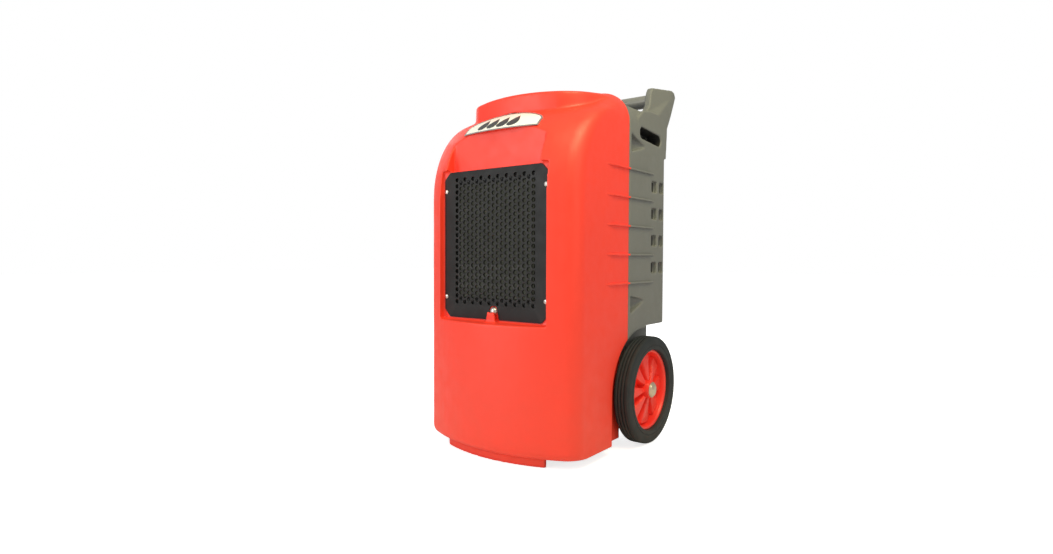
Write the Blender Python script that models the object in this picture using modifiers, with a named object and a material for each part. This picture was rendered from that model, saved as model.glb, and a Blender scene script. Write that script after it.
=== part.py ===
"""A commercial dehumidifier on two wheels: two moulded casings, a front grille, and the machine inside.

Metres, +Z up, front towards -Y. The origin is under the middle of the box that the whole machine fills.
"""

import math

import bmesh
import bpy
from mathutils import Matrix, Vector

# Driving sizes
BODY_WIDTH = 0.495  # across the two moulded casings
CASING_HEIGHT = 0.985  # ground to the crown of the roof
FRONT_DEPTH = 0.328  # front casing, from its furthest point forward to the seam
REAR_DEPTH = 0.235  # rear casing, from the seam to its back face
EAR_OVERHANG = 0.063  # how far the handle ears reach behind the back face
EAR_RISE = 0.045  # how far the ears stand above the roof's crown
WHEEL_RADIUS = 0.15
TYRE_WIDTH = 0.047
HUB_RADIUS = 0.112
AXLE_RADIUS = 0.0095
PLATE_WIDTH = 0.347  # grille plate
PLATE_HEIGHT = 0.394
BADGE_WIDTH = 0.248
BADGE_RISE = 0.035  # of its arched upper edge
BAR_RADIUS = 0.019  # handle bar
COIL_DEPTH = 0.040  # each of the two finned coils
FAN_RADIUS = 0.135
MOTOR_RADIUS = 0.045
COMPRESSOR_RADIUS = 0.062
COMPRESSOR_HEIGHT = 0.205

# Walls, gaps and clearances
GAP = 0.0003  # between pieces that touch
FRONT_WALL = 0.004
REAR_WALL = 0.005
ARCH_CLEARANCE = 0.020  # wheel to wheel arch
FIT = 0.0004  # round a shaft in its hole
SHEET = 0.0025  # grille plate

# The moulded outline
BOW_RADIUS = 0.44  # of the front face, in plan
FRONT_CORNER = 0.055  # upright front corners
ROLL_DEPTH = 0.20  # the quarter ellipse that the top front rolls back along
ROLL_HEIGHT = 0.235
ROLL_START = CASING_HEIGHT - 0.301
ROOF_SLOPE = 0.393
ROOF_CORNER = 0.085  # where the roof turns into the sides
CROWN_RADIUS = 1.3
SKIRT_BOTTOM = 0.022  # lower edge of the front casing
TUCK = 0.023  # how far the front's lower edge curves in
LIP_HALF = 0.163  # the foot across the bottom of the front
LIP_DEPTH = 0.010
CREST_HALF = 0.172  # raised crest on the roof
CREST_SETBACK = 0.125
CREST_SLOPE = 0.150
CREST_SPREAD = 0.235

HALF = BODY_WIDTH / 2
APEX_Y = -(FRONT_DEPTH + REAR_DEPTH + EAR_OVERHANG) / 2
SEAM_Y = APEX_Y + FRONT_DEPTH
BACK_Y = SEAM_Y + REAR_DEPTH
PLATE_Y = APEX_Y + 0.050  # front of the grille plate
AXLE_Y = SEAM_Y + 0.086
AXLE_Z = WHEEL_RADIUS
ARCH_RADIUS = WHEEL_RADIUS + ARCH_CLEARANCE
WELL_X = HALF - 0.0255  # inner wall of the wheel well
BOX_BOTTOM = AXLE_Z + ARCH_RADIUS + 0.007  # underside of the deep rear box
LOWER_BACK_Y = SEAM_Y + 0.164
TYRE_OUTER = HALF - 0.0125 + TYRE_WIDTH
FLOOR_Z = 0.050  # top of the steel base

PLATE_TOP = CASING_HEIGHT - 0.233
PLATE_BOTTOM = PLATE_TOP - PLATE_HEIGHT
PLATE_MID = (PLATE_TOP + PLATE_BOTTOM) / 2
POCKET_HALF = PLATE_WIDTH / 2 + 0.0045
POCKET_FLOOR = PLATE_Y + SHEET + GAP
CHANNEL_HALF = PLATE_WIDTH / 2 - 0.0185
CHANNEL_TOP = PLATE_TOP + 0.115
CHANNEL_FLOOR = PLATE_Y + 0.020
AIR_HALF = PLATE_WIDTH / 2 - 0.026
AIR_TOP = PLATE_TOP - 0.016
AIR_BOTTOM = PLATE_BOTTOM + 0.036
SCREW_X = PLATE_WIDTH / 2 - 0.0065
SCREW_Z = (PLATE_TOP - 0.052, PLATE_BOTTOM + 0.055)
LUG_HALF = 0.017  # the lug below the grille, at its root
LUG_TIP_HALF = 0.0115
LUG_TOP = PLATE_BOTTOM + 0.022
LUG_FRONT = PLATE_Y - 0.013
STUD_Z = LUG_TOP
STUD_HEAD = 0.0115
STUD_RADIUS = 0.004
SCREW_RADIUS = 0.0025
NOTCH_HALF = LUG_TIP_HALF + 0.002  # the notch that the grille leaves round the lug
NOTCH_TOP = LUG_TOP + 0.014
BADGE_BOTTOM = CASING_HEIGHT - 0.133
BADGE_SHOULDER = 1.15  # at 1 the arch is an ellipse; above it the ends slope straighter

RECESS_HALF = HALF - 0.0575  # the hollow in the back
RECESS_FLOOR = BACK_Y - 0.053
RECESS_BOTTOM = BOX_BOTTOM + 0.038
RECESS_TOP = CASING_HEIGHT - 0.110
PANEL_TOP = RECESS_TOP - 0.015
PANEL_BOTTOM = PANEL_TOP - 0.175
PANEL_HALF = 0.150
OUTLET_HALF = 0.150
OUTLET_TOP = PANEL_BOTTOM - 0.030
OUTLET_BOTTOM = RECESS_BOTTOM + 0.015
BAY_FRONT = SEAM_Y + 0.092  # hand clearance round the handle bar
BAY_FLOOR = CASING_HEIGHT - 0.080
EAR_INNER = HALF - 0.0375
BAR_Y = SEAM_Y + 0.187
BAR_Z = CASING_HEIGHT
BAR_SEAT = 0.012  # how far the bar's ends go into the ears
FACET_BOTTOM = CASING_HEIGHT - 0.044
WINDOW_DEPTH = 0.013  # of the blind windows in the sides
WINDOW_TOP = CASING_HEIGHT - 0.258  # middle of the highest
WINDOW_BOTTOM = BOX_BOTTOM + 0.166  # middle of the lowest
WINDOW_HALF = 0.016
BOLT_X = HALF - 0.014
BOLT_HEAD_Y = SEAM_Y + 0.012  # seat under each bolt's head
BOLT_RADIUS = 0.003
BOLT_HEIGHTS = (CASING_HEIGHT - 0.150, BOX_BOTTOM + 0.064)
HOSE_RADIUS = 0.008
HOSE_PLACE = (-0.120, LOWER_BACK_Y, FLOOR_Z + 0.165)
HUB_INNER = TYRE_OUTER - TYRE_WIDTH - 0.006
HUB_OUTER = HALF + 0.0305
HUB_MIDDLE = HALF + 0.007
HUB_RIM_HALF = 0.0155
CAP_RADIUS = 0.0215
BORE = AXLE_RADIUS + FIT

TRAY_TOP = AIR_BOTTOM - 0.012
COIL_BOTTOM = TRAY_TOP - 0.006
COIL_TOP = AIR_TOP
COIL_HALF = AIR_HALF
COIL_BENDS = 7
BEND_PITCH = (COIL_TOP - COIL_BOTTOM) / COIL_BENDS
FILTER_DEPTH = 0.012
EVAPORATOR_Y = POCKET_FLOOR + FILTER_DEPTH + 0.012
CONDENSER_Y = EVAPORATOR_Y + COIL_DEPTH + 0.010
SHROUD_Y = CONDENSER_Y + COIL_DEPTH + 0.030
FAN_Z = (COIL_TOP + COIL_BOTTOM) / 2
FAN_Y = SHROUD_Y + 0.028
MOTOR_Y = FAN_Y + 0.030
MOTOR_LENGTH = 0.075
SHAFT_RADIUS = 0.006
COMPRESSOR_PLACE = (-0.060, PLATE_Y + 0.175, FLOOR_Z + 0.014)
ACCUMULATOR_RADIUS = 0.024
ACCUMULATOR_X = COMPRESSOR_PLACE[0] + COMPRESSOR_RADIUS + ACCUMULATOR_RADIUS + 0.014
ACCUMULATOR_PLACE = (ACCUMULATOR_X, PLATE_Y + 0.160, FLOOR_Z + 0.040)
FOOT_TURNS = [math.radians(angle) for angle in (90, 210, 330)]
PUMP_LOW = (0.090, PLATE_Y + 0.090, FLOOR_Z + GAP)
PUMP_HIGH = (0.170, PLATE_Y + 0.180, FLOOR_Z + 0.090)
PANEL_SHEET = 0.003
CONTROL_Z = (PANEL_TOP + PANEL_BOTTOM) / 2
SWITCH_PLACE = (-0.095, CONTROL_Z + 0.030)
BUTTON_PLACE = (-0.095, CONTROL_Z - 0.040)
KNOB_PLACE = (0.0, CONTROL_Z - 0.015)
METER_PLACE = (0.090, CONTROL_Z + 0.035)
INLET_PLACE = (0.090, CONTROL_Z - 0.040)
LAMP_PLACE = (0.0, CONTROL_Z + 0.055)
SWITCH_SIZE = (0.020, 0.030)
METER_SIZE = (0.048, 0.024)
INLET_SIZE = (0.034, 0.028)
BUTTON_RADIUS = 0.011
KNOB_RADIUS = 0.023
SPINDLE_RADIUS = 0.004
LAMP_RADIUS = 0.005
PANEL_BACK = RECESS_FLOOR + GAP
PANEL_FACE = PANEL_BACK + PANEL_SHEET

AXES = {  # outlines and cylinders, drawn in x and y, on to each axis
    "x": Matrix(((0, 0, 1), (1, 0, 0), (0, 1, 0))).to_4x4(),
    "y": Matrix(((1, 0, 0), (0, 0, 1), (0, 1, 0))).to_4x4(),
    "z": Matrix.Identity(4),
}
TURN = {  # turned profiles, drawn round z, on to each axis
    "x": Matrix.Rotation(math.radians(90), 4, "Y"),
    "-x": Matrix.Rotation(math.radians(-90), 4, "Y"),
    "y": Matrix.Rotation(math.radians(-90), 4, "X"),
    "-y": Matrix.Rotation(math.radians(90), 4, "X"),
    "z": Matrix.Identity(4),
}

parts = None
cutters = None
materials = {}


def clear_scene():
    global parts, cutters
    for obj in list(bpy.data.objects):
        bpy.data.objects.remove(obj, do_unlink=True)
    parts = bpy.data.collections.new("dehumidifier")
    cutters = bpy.data.collections.new("cutters")
    bpy.context.scene.collection.children.link(parts)
    bpy.context.scene.collection.children.link(cutters)


def make_materials():
    palette = {
        "red_casing": ((0.84, 0.075, 0.040), 0.42, 0.0),
        "grey_casing": ((0.16, 0.155, 0.145), 0.55, 0.0),
        "coated_steel": ((0.045, 0.050, 0.050), 0.50, 0.3),
        "filter_foam": ((0.035, 0.040, 0.036), 0.95, 0.0),
        "zinc": ((0.62, 0.61, 0.58), 0.35, 0.9),
        "badge_white": ((0.83, 0.84, 0.80), 0.35, 0.0),
        "rubber": ((0.032, 0.032, 0.030), 0.80, 0.0),
        "hub_red": ((0.55, 0.012, 0.010), 0.30, 0.0),
        "cap_beige": ((0.52, 0.40, 0.29), 0.35, 0.6),
        "tube_grey": ((0.22, 0.23, 0.24), 0.45, 0.2),
        "galvanised": ((0.50, 0.51, 0.51), 0.45, 0.8),
        "aluminium": ((0.66, 0.67, 0.68), 0.35, 0.9),
        "copper": ((0.62, 0.27, 0.15), 0.30, 0.95),
        "black_enamel": ((0.018, 0.018, 0.020), 0.35, 0.2),
        "black_plastic": ((0.025, 0.025, 0.026), 0.50, 0.0),
        "tray_plastic": ((0.30, 0.31, 0.30), 0.60, 0.0),
        "lamp_green": ((0.05, 0.50, 0.12), 0.25, 0.0),
        "button_green": ((0.03, 0.28, 0.10), 0.40, 0.0),
        "switch_red": ((0.60, 0.02, 0.02), 0.35, 0.0),
    }
    for name, (colour, roughness, metallic) in palette.items():
        made = bpy.data.materials.new(name)
        made.use_nodes = True
        shader = made.node_tree.nodes["Principled BSDF"]
        shader.inputs["Base Color"].default_value = (*colour, 1.0)
        shader.inputs["Roughness"].default_value = roughness
        shader.inputs["Metallic"].default_value = metallic
        made.diffuse_color = (*colour, 1.0)
        materials[name] = made


# ---- making and combining solids


def add_object(name, bm, finish=None):
    """Makes an object from a bmesh: a part when it has a finish, and otherwise a cutter."""
    bmesh.ops.recalc_face_normals(bm, faces=bm.faces)
    mesh = bpy.data.meshes.new(name)
    bm.to_mesh(mesh)
    bm.free()
    obj = bpy.data.objects.new(name, mesh)
    if finish:
        parts.objects.link(obj)
        mesh.materials.append(materials[finish])
    else:
        cutters.objects.link(obj)
        obj.hide_render = True
        obj.display_type = "WIRE"
    return obj


def combine(target, other, operation):
    modifier = target.modifiers.new(other.name, "BOOLEAN")
    modifier.operation = operation
    modifier.object = other
    return target


def cut(target, *others):
    for other in others:
        combine(target, other, "DIFFERENCE")
    return target


def join(target, *others):
    for other in others:
        combine(target, other, "UNION")
    return target


def add_box(bm, low, high):
    size = Vector(high) - Vector(low)
    middle = (Vector(high) + Vector(low)) / 2
    place = Matrix.Translation(middle) @ Matrix.Diagonal((*size, 1.0))
    bmesh.ops.create_cube(bm, size=1.0, matrix=place)


def boxes(name, spans, finish=None):
    """Boxes that don't touch each other, from their lowest and highest corners, in one mesh."""
    bm = bmesh.new()
    for low, high in spans:
        add_box(bm, low, high)
    return add_object(name, bm, finish)


def soften(obj, width, segments=2):
    bevel = obj.modifiers.new("soften", "BEVEL")
    bevel.width = width
    bevel.segments = segments
    bevel.limit_method = "ANGLE"
    bevel.angle_limit = math.radians(40)
    return obj


def add_cylinder(bm, axis, centre, radius, length, sides):
    """A cylinder whose middle is at centre."""
    bmesh.ops.create_cone(
        bm,
        cap_ends=True,
        segments=sides,
        radius1=radius,
        radius2=radius,
        depth=length,
        matrix=Matrix.Translation(centre) @ AXES[axis],
    )


def cylinders(name, axis, centres, radius, length, sides=24, finish=None):
    bm = bmesh.new()
    for centre in centres:
        add_cylinder(bm, axis, centre, radius, length, sides)
    return add_object(name, bm, finish)


def prism(name, outlines, axis, start, end, finish=None):
    """Flat outlines pushed from start to end along an axis.

    Outline points are (y, z) for axis x, (x, z) for axis y and (x, y) for axis z.
    """
    bm = bmesh.new()
    for outline in outlines:
        rings = []
        for level in (start, end):
            ring = [bm.verts.new(AXES[axis] @ Vector((a, b, level))) for a, b in outline]
            rings.append(ring)
        bm.faces.new(rings[0])
        bm.faces.new(rings[1])
        for index, corner in enumerate(rings[0]):
            after = (index + 1) % len(outline)
            bm.faces.new((corner, rings[0][after], rings[1][after], rings[1][index]))
    return add_object(name, bm, finish)


def turned(name, axis, centre, profile, steps=32, finish=None, closed=False):
    """A profile of (radius, height) points, top to bottom, swept once round an axis by a Screw modifier."""
    bm = bmesh.new()
    points = [bm.verts.new((radius, 0.0, height)) for radius, height in profile]
    for first, second in zip(points, points[1:]):
        bm.edges.new((first, second))
    if closed:
        bm.edges.new((points[-1], points[0]))
    obj = add_object(name, bm, finish)
    obj.matrix_world = Matrix.Translation(centre) @ TURN[axis]
    screw = obj.modifiers.new("turn", "SCREW")
    screw.axis = "Z"
    screw.steps = steps
    screw.render_steps = steps
    screw.use_merge_vertices = True
    screw.merge_threshold = 0.00001
    return obj


def arc(middle_a, middle_b, radius, first, last, count):
    """Points of an arc in degrees, both ends included."""
    angles = [math.radians(first + (last - first) * i / count) for i in range(count + 1)]
    return [(middle_a + radius * math.cos(t), middle_b + radius * math.sin(t)) for t in angles]


def rounded_rectangle(low_a, low_b, high_a, high_b, radius, count=4):
    corners = (
        (high_a - radius, low_b + radius, -90),
        (high_a - radius, high_b - radius, 0),
        (low_a + radius, high_b - radius, 90),
        (low_a + radius, low_b + radius, 180),
    )
    outline = []
    for a, b, first in corners:
        outline += arc(a, b, radius, first, first + 90, count)
    return outline


def tube(name, points, radius, finish, resolution=2):
    """A round pipe through the points, as a curve with filled caps turned into a mesh."""
    curve = bpy.data.curves.new(name, "CURVE")
    curve.dimensions = "3D"
    curve.bevel_depth = radius
    curve.bevel_resolution = resolution
    curve.use_fill_caps = True
    spline = curve.splines.new("POLY")
    spline.points.add(len(points) - 1)
    for point, place in zip(spline.points, points):
        point.co = (*place, 1.0)
    guide = bpy.data.objects.new(name + "_guide", curve)
    parts.objects.link(guide)
    graph = bpy.context.evaluated_depsgraph_get()
    mesh = bpy.data.meshes.new_from_object(guide.evaluated_get(graph))
    bm = bmesh.new()
    bm.from_mesh(mesh)
    bmesh.ops.remove_doubles(bm, verts=bm.verts, dist=0.00001)
    bpy.data.objects.remove(guide, do_unlink=True)
    return add_object(name, bm, finish)


def bent_path(corners, radius, steps=4):
    """The corners of a pipe's route, with each bend rounded off to a radius."""
    points = [Vector(corners[0])]
    for before, here, after in zip(corners, corners[1:], corners[2:]):
        before, here, after = Vector(before), Vector(here), Vector(after)
        back = (before - here).normalized() * radius
        ahead = (after - here).normalized() * radius
        for step in range(steps + 1):
            t = step / steps
            points.append((here + back) * (1 - t) ** 2 + here * 2 * t * (1 - t) + (here + ahead) * t**2)
    points.append(Vector(corners[-1]))
    return points


# ---- the moulded outline


def roof_outline(inset=0.0, bottom=SKIRT_BOTTOM, count=8):
    """The right half of the section at the seam, bottom to crown, as (x, z)."""
    side = HALF - inset
    top = CASING_HEIGHT - inset
    crown = CROWN_RADIUS - inset
    corner = ROOF_CORNER - inset
    lean = math.asin((side - corner) / (crown - corner))
    middle = top - crown + (crown - corner) * math.cos(lean)
    outline = [(side, bottom)]
    outline += arc(side - corner, middle, corner, 0, 90 - math.degrees(lean), count)
    for step in (0.66, 0.33):
        turn = lean * step
        outline.append((crown * math.sin(turn), top - crown + crown * math.cos(turn)))
    return outline


def whole_roof_outline(inset=0.0, bottom=SKIRT_BOTTOM):
    right = roof_outline(inset, bottom)
    left = [(-x, z) for x, z in reversed(right)]
    return right + [(0.0, CASING_HEIGHT - inset)] + left


def roof_half_width(height):
    """Half the width of the section at the seam, at a height."""
    outline = roof_outline(count=16) + [(0.0, CASING_HEIGHT)]
    for (x1, z1), (x2, z2) in zip(outline, outline[1:]):
        if z1 <= height <= z2:
            return x1 + (x2 - x1) * (height - z1) / (z2 - z1)
    return 0.0


def set_back(height):
    """How far behind its furthest point the front's centre line is, at a height."""
    slope = ROOF_SLOPE * ROLL_DEPTH / ROLL_HEIGHT
    turn = slope / math.sqrt(1 + slope**2)
    roll_end = ROLL_DEPTH * (1 - turn)
    roll_end_z = ROLL_START + ROLL_HEIGHT * math.sqrt(1 - turn**2)
    if height <= ROLL_START:
        return 0.0
    if height <= roll_end_z:
        return ROLL_DEPTH * (1 - math.sqrt(1 - ((height - ROLL_START) / ROLL_HEIGHT) ** 2))
    share = (height - roll_end_z) / (CASING_HEIGHT - roll_end_z)
    return roll_end + share * (FRONT_DEPTH - roll_end)


def plan_half(half, front, corner, back, bow_steps=4, corner_steps=5):
    """Half a horizontal section as (x, y), from the centre line round the corner to the back."""
    depth = SEAM_Y - front
    drop = min(half**2 / (2 * BOW_RADIUS), 0.4 * depth)
    bow = (half**2 + drop**2) / (2 * drop)
    corner = min(corner, 0.4 * depth, 0.8 * half)
    swing = math.asin((half - corner) / (bow - corner))
    points = []
    for step in range(bow_steps):
        turn = swing * step / bow_steps
        points.append((bow * math.sin(turn), front + bow * (1 - math.cos(turn))))
    middle_y = front + bow - (bow - corner) * math.cos(swing)
    for step in range(corner_steps + 1):
        turn = swing + (math.pi / 2 - swing) * step / corner_steps
        points.append((half - corner + corner * math.sin(turn), middle_y - corner * math.cos(turn)))
    points.append((half, back))
    return points


def front_rows(inset=0.0, bottom=SKIRT_BOTTOM, back=SEAM_Y):
    """Horizontal sections of the front casing, each with its height, from the skirt to the crown."""
    tuck_steps = [SKIRT_BOTTOM + TUCK * share for share in (0.0, 0.3, 1.0)]
    straight = [PLATE_BOTTOM, ROLL_START]
    rolled = CASING_HEIGHT - 0.08 - ROLL_START
    roll = [ROLL_START + rolled * math.sin(math.pi / 2 * i / 6) for i in range(1, 7)]
    roof = [CASING_HEIGHT - 0.08 * (1 - share) ** 1.6 for share in (0.22, 0.44, 0.66, 0.85)]
    rows = []
    scale = (CASING_HEIGHT - inset - SKIRT_BOTTOM) / (CASING_HEIGHT - SKIRT_BOTTOM)
    for height in tuck_steps + straight + roll + roof:
        rise = min((height - SKIRT_BOTTOM) / TUCK, 1.0)
        tuck = TUCK * (1 - math.sqrt(1 - (1 - rise) ** 2))
        half = max(roof_half_width(height) - inset, 0.004)
        front = min(APEX_Y + set_back(height) + tuck + inset, SEAM_Y - 0.004)
        corner = max(FRONT_CORNER + tuck - inset, 0.01)
        level = SKIRT_BOTTOM + (height - SKIRT_BOTTOM) * scale
        rows.append((level, plan_half(half, front, corner, back)))
    if bottom < SKIRT_BOTTOM:
        rows.insert(0, (bottom, rows[0][1]))
    return rows


def front_form(name, inset=0.0, bottom=SKIRT_BOTTOM, back=SEAM_Y, finish=None):
    """The solid inside the front casing's outer face, moved in by the inset."""
    bm = bmesh.new()
    rings = []
    for level, half in front_rows(inset, bottom, back):
        across = [(-x, y) for x, y in reversed(half[1:])] + half
        rings.append([bm.verts.new((x, y, level)) for x, y in across])
    crown = bm.verts.new((0.0, back, CASING_HEIGHT - inset))
    for lower, upper in zip(rings, rings[1:]):
        for i in range(len(lower) - 1):
            bm.faces.new((lower[i], lower[i + 1], upper[i + 1], upper[i]))
    for i in range(len(rings[-1]) - 1):
        bm.faces.new((rings[-1][i], rings[-1][i + 1], crown))
    bm.faces.new(rings[0])
    right = [ring[-1] for ring in rings]
    left = [ring[0] for ring in reversed(rings)]
    bm.faces.new(right + [crown] + left)
    return add_object(name, bm, finish)


def crest_form(name, inset=0.0, back=SEAM_Y):
    """The raised crest: a bowed front in plan with rounded ends, under a crown that falls to the front."""
    front = APEX_Y + CREST_SETBACK + inset
    side = CREST_HALF - inset
    swing = math.asin(CREST_HALF / BOW_RADIUS)
    bow = []
    for step in range(-5, 6):
        turn = swing * step / 5
        share = side / CREST_HALF
        bow.append((BOW_RADIUS * math.sin(turn) * share, front + BOW_RADIUS * (1 - math.cos(turn))))
    spread = min(CREST_SPREAD, HALF - 0.012) - inset
    lead, end, far = Vector(bow[-2]), Vector(bow[-1]), Vector((spread, back))
    after_corner = end + (far - end) * 0.3
    right = []
    for step in range(4):
        share = step / 3
        corner = lead * (1 - share) ** 2 + end * 2 * share * (1 - share) + after_corner * share**2
        right.append(tuple(corner))
    left = [(-x, y) for x, y in reversed(right)]
    plan = left + bow[2:-2] + right + [(spread, back), (-spread, back)]
    block = prism(name, [plan], "z", ROLL_START + 0.13, CASING_HEIGHT + 0.05)
    outline = whole_roof_outline(inset, ROLL_START + 0.10)
    bm = bmesh.new()
    rings = []
    for level in (front - 0.02, back + 0.01):
        fall = CREST_SLOPE * (level - SEAM_Y)
        rings.append([bm.verts.new((x, level, z + fall)) for x, z in outline])
    bm.faces.new(rings[0])
    bm.faces.new(rings[1])
    for i in range(len(outline)):
        after = (i + 1) % len(outline)
        bm.faces.new((rings[0][i], rings[0][after], rings[1][after], rings[1][i]))
    roof = add_object(name + "_roof", bm)
    return combine(block, roof, "INTERSECT")


def wheel_arches(name, extra=0.0):
    """Cuts for both wheel wells, from the well's inner wall outwards and down past the ground."""
    radius = ARCH_RADIUS + extra
    count = 20
    outline = arc(AXLE_Y, AXLE_Z, radius, 0, 180, count)
    outline += [(AXLE_Y - radius, -0.05), (AXLE_Y + radius, -0.05)]
    right = prism(name, [outline], "x", WELL_X - extra, HALF + 0.05)
    left = prism(name + "_left", [outline], "x", -HALF - 0.05, -WELL_X + extra)
    return right, left


def rib_outlines():
    """Where the side ribs sit: their heights, and the places along Y that they run between."""
    count = 5
    top = CASING_HEIGHT - 0.222
    bottom = BOX_BOTTOM + 0.125
    heights = [top - (top - bottom) * i / (count - 1) for i in range(count)]
    return heights, SEAM_Y - 0.121, SEAM_Y + 0.153


def side_ribs(name, start, end, proud=0.005, thick=0.0055):
    """Thin ribs on both sides, tapering out to nothing at their ends."""
    heights, first, last = rib_outlines()
    root = HALF - 0.002
    bm = bmesh.new()
    for side in (1, -1):
        for height in heights:
            shape = []
            for y in (start, end):
                reach = min(y - first, last - y) / 0.03
                out = HALF + proud * min(max(reach, 0.12), 1.0)
                shape += [(side * root, y), (side * out, y)]
            order = [shape[0], shape[1], shape[3], shape[2]]
            low = [bm.verts.new((x, y, height - thick / 2)) for x, y in order]
            high = [bm.verts.new((x, y, height + thick / 2)) for x, y in order]
            bm.faces.new(low)
            bm.faces.new(high)
            for i in range(4):
                bm.faces.new((low[i], low[(i + 1) % 4], high[(i + 1) % 4], high[i]))
    return add_object(name, bm)


# ---- casings


def bolt_places():
    """The four casing bolts, as (side, height), in triangular pockets just behind the seam."""
    return [(side, height) for side in (1, -1) for height in BOLT_HEIGHTS]


def bolt_holes():
    places = [(side * BOLT_X, SEAM_Y, height) for side, height in bolt_places()]
    return cylinders("bolt_holes", "y", places, BOLT_RADIUS + FIT, 0.07, 12)


def bolt_bosses(name, start, end):
    spans = []
    for side, height in bolt_places():
        inner, outer = sorted((side * (HALF - 0.028), side * (HALF - 0.002)))
        spans.append(((inner, start, height - 0.014), (outer, end, height + 0.014)))
    return boxes(name, spans)


def make_front_casing():
    casing = front_form("front_casing", finish="red_casing")
    crest = crest_form("crest")
    over_badge = prism("over_badge", [badge_outline(0.0012)], "y", APEX_Y - 0.01, SEAM_Y - 0.14)
    cut(over_badge, front_form("under_badge", 0.002))
    cut(crest, over_badge)
    join(casing, crest)
    void = front_form("front_void", FRONT_WALL, SKIRT_BOTTOM - 0.01, SEAM_Y + 0.01)
    join(void, crest_form("crest_void", FRONT_WALL, SEAM_Y + 0.01))
    wall = FRONT_WALL
    pocket_wall = boxes("pocket_wall", [
        (
            (-POCKET_HALF - wall, APEX_Y - 0.02, PLATE_BOTTOM - 0.006 - wall),
            (POCKET_HALF + wall, POCKET_FLOOR + 0.005, PLATE_TOP + 0.008),
        )
    ])
    channel_wall = boxes("channel_wall", [
        (
            (-CHANNEL_HALF - wall, APEX_Y - 0.02, PLATE_TOP - 0.004),
            (CHANNEL_HALF + wall, CHANNEL_FLOOR + wall, CHANNEL_TOP + wall),
        )
    ])
    cut(void, pocket_wall, channel_wall)
    cut(void, *wheel_arches("front_arch_wall", wall))
    cut(void, bolt_bosses("front_bosses", SEAM_Y - 0.030, SEAM_Y + 0.02))
    cut(casing, void)
    foot_front = APEX_Y + TUCK
    outline = [(BOW_RADIUS * math.sin(t), foot_front + BOW_RADIUS * (1 - math.cos(t))) for t in foot_turns()]
    outline += [(x, y + LIP_DEPTH) for x, y in reversed(outline)]
    join(casing, prism("foot", [outline], "z", 0.0, SKIRT_BOTTOM + 0.03))
    join(casing, side_ribs("front_ribs", rib_outlines()[1], SEAM_Y))
    pocket = boxes("pocket", [
        (
            (-POCKET_HALF, APEX_Y - 0.02, PLATE_BOTTOM - 0.006),
            (POCKET_HALF, POCKET_FLOOR, PLATE_TOP + 0.004),
        )
    ])
    channel = boxes("channel", [
        (
            (-CHANNEL_HALF, APEX_Y - 0.02, PLATE_TOP),
            (CHANNEL_HALF, CHANNEL_FLOOR, CHANNEL_TOP),
        )
    ])
    air_way = boxes("air_way", [
        (
            (-AIR_HALF, APEX_Y, AIR_BOTTOM),
            (AIR_HALF, POCKET_FLOOR + 0.02, AIR_TOP),
        )
    ])
    cut(casing, pocket, channel, air_way)
    root = PLATE_BOTTOM - 0.008
    lug = [(-LUG_HALF, root), (LUG_HALF, root), (LUG_TIP_HALF, LUG_TOP), (-LUG_TIP_HALF, LUG_TOP)]
    join(casing, prism("lug", [lug], "y", LUG_FRONT, LUG_FRONT + 0.006))
    cut(casing, cylinders("stud_hole", "y", [(0, POCKET_FLOOR, STUD_Z)], STUD_RADIUS + FIT, 0.06, 12))
    cut(casing, cylinders("screw_holes", "y", screw_places(), SCREW_RADIUS + FIT, 0.04, 12))
    cut(casing, *wheel_arches("front_arch"))
    cut(casing, bolt_holes())


def foot_turns():
    swing = math.asin(LIP_HALF / BOW_RADIUS)
    return [swing * step / 6 for step in range(-6, 7)]


def screw_places():
    return [(side * SCREW_X, POCKET_FLOOR, height) for side in (1, -1) for height in SCREW_Z]


def rear_box(name, inset=0.0, front=SEAM_Y + GAP, finish=None):
    """The deep upper box of the rear casing: the seam's outline carried back to rounded upright corners."""
    outline = whole_roof_outline(inset, BOX_BOTTOM + inset)
    block = prism(name, [outline], "y", front, BACK_Y - inset, finish)
    plan = rounded_rectangle(-HALF + inset, SEAM_Y - 0.1, HALF - inset, BACK_Y - inset, 0.022, 3)
    edge = prism(name + "_corners", [plan], "z", BOX_BOTTOM - 0.05, CASING_HEIGHT + 0.05)
    return combine(block, edge, "INTERSECT")


def ear_outline():
    """Side view of a handle ear, from its root in front round the tip and down the back."""
    top = CASING_HEIGHT + EAR_RISE
    tip = BACK_Y + EAR_OVERHANG
    return [
        (BAY_FRONT - 0.040, CASING_HEIGHT - 0.075),
        (BAY_FRONT - 0.012, CASING_HEIGHT - 0.052),
        (BAY_FRONT + 0.020, CASING_HEIGHT - 0.046),
        (BAR_Y - 0.050, FACET_BOTTOM),
        (BAR_Y - 0.029, CASING_HEIGHT - 0.018),
        (BAR_Y - 0.020, CASING_HEIGHT + 0.020),
        (BAR_Y - 0.010, CASING_HEIGHT + 0.036),
        (tip - 0.028, top),
        (tip - 0.010, top - 0.003),
        (tip, top - 0.016),
        (tip - 0.013, top - 0.043),
        (tip - 0.035, top - 0.085),
        (tip - 0.057, top - 0.121),
        (BACK_Y + 0.004, top - 0.153),
        (BACK_Y - 0.001, top - 0.212),
        (BAY_FRONT - 0.020, CASING_HEIGHT - 0.180),
    ]


def ears():
    """Both ears, each with a broad facet from its front to its outer side."""
    outline = ear_outline()
    right = prism("ear_right", [outline], "x", EAR_INNER, HALF - 0.0005)
    left = prism("ear_left", [outline], "x", -HALF + 0.0005, -EAR_INNER)
    facets = ear_facets()
    return cut(right, facets), cut(left, facets)


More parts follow.
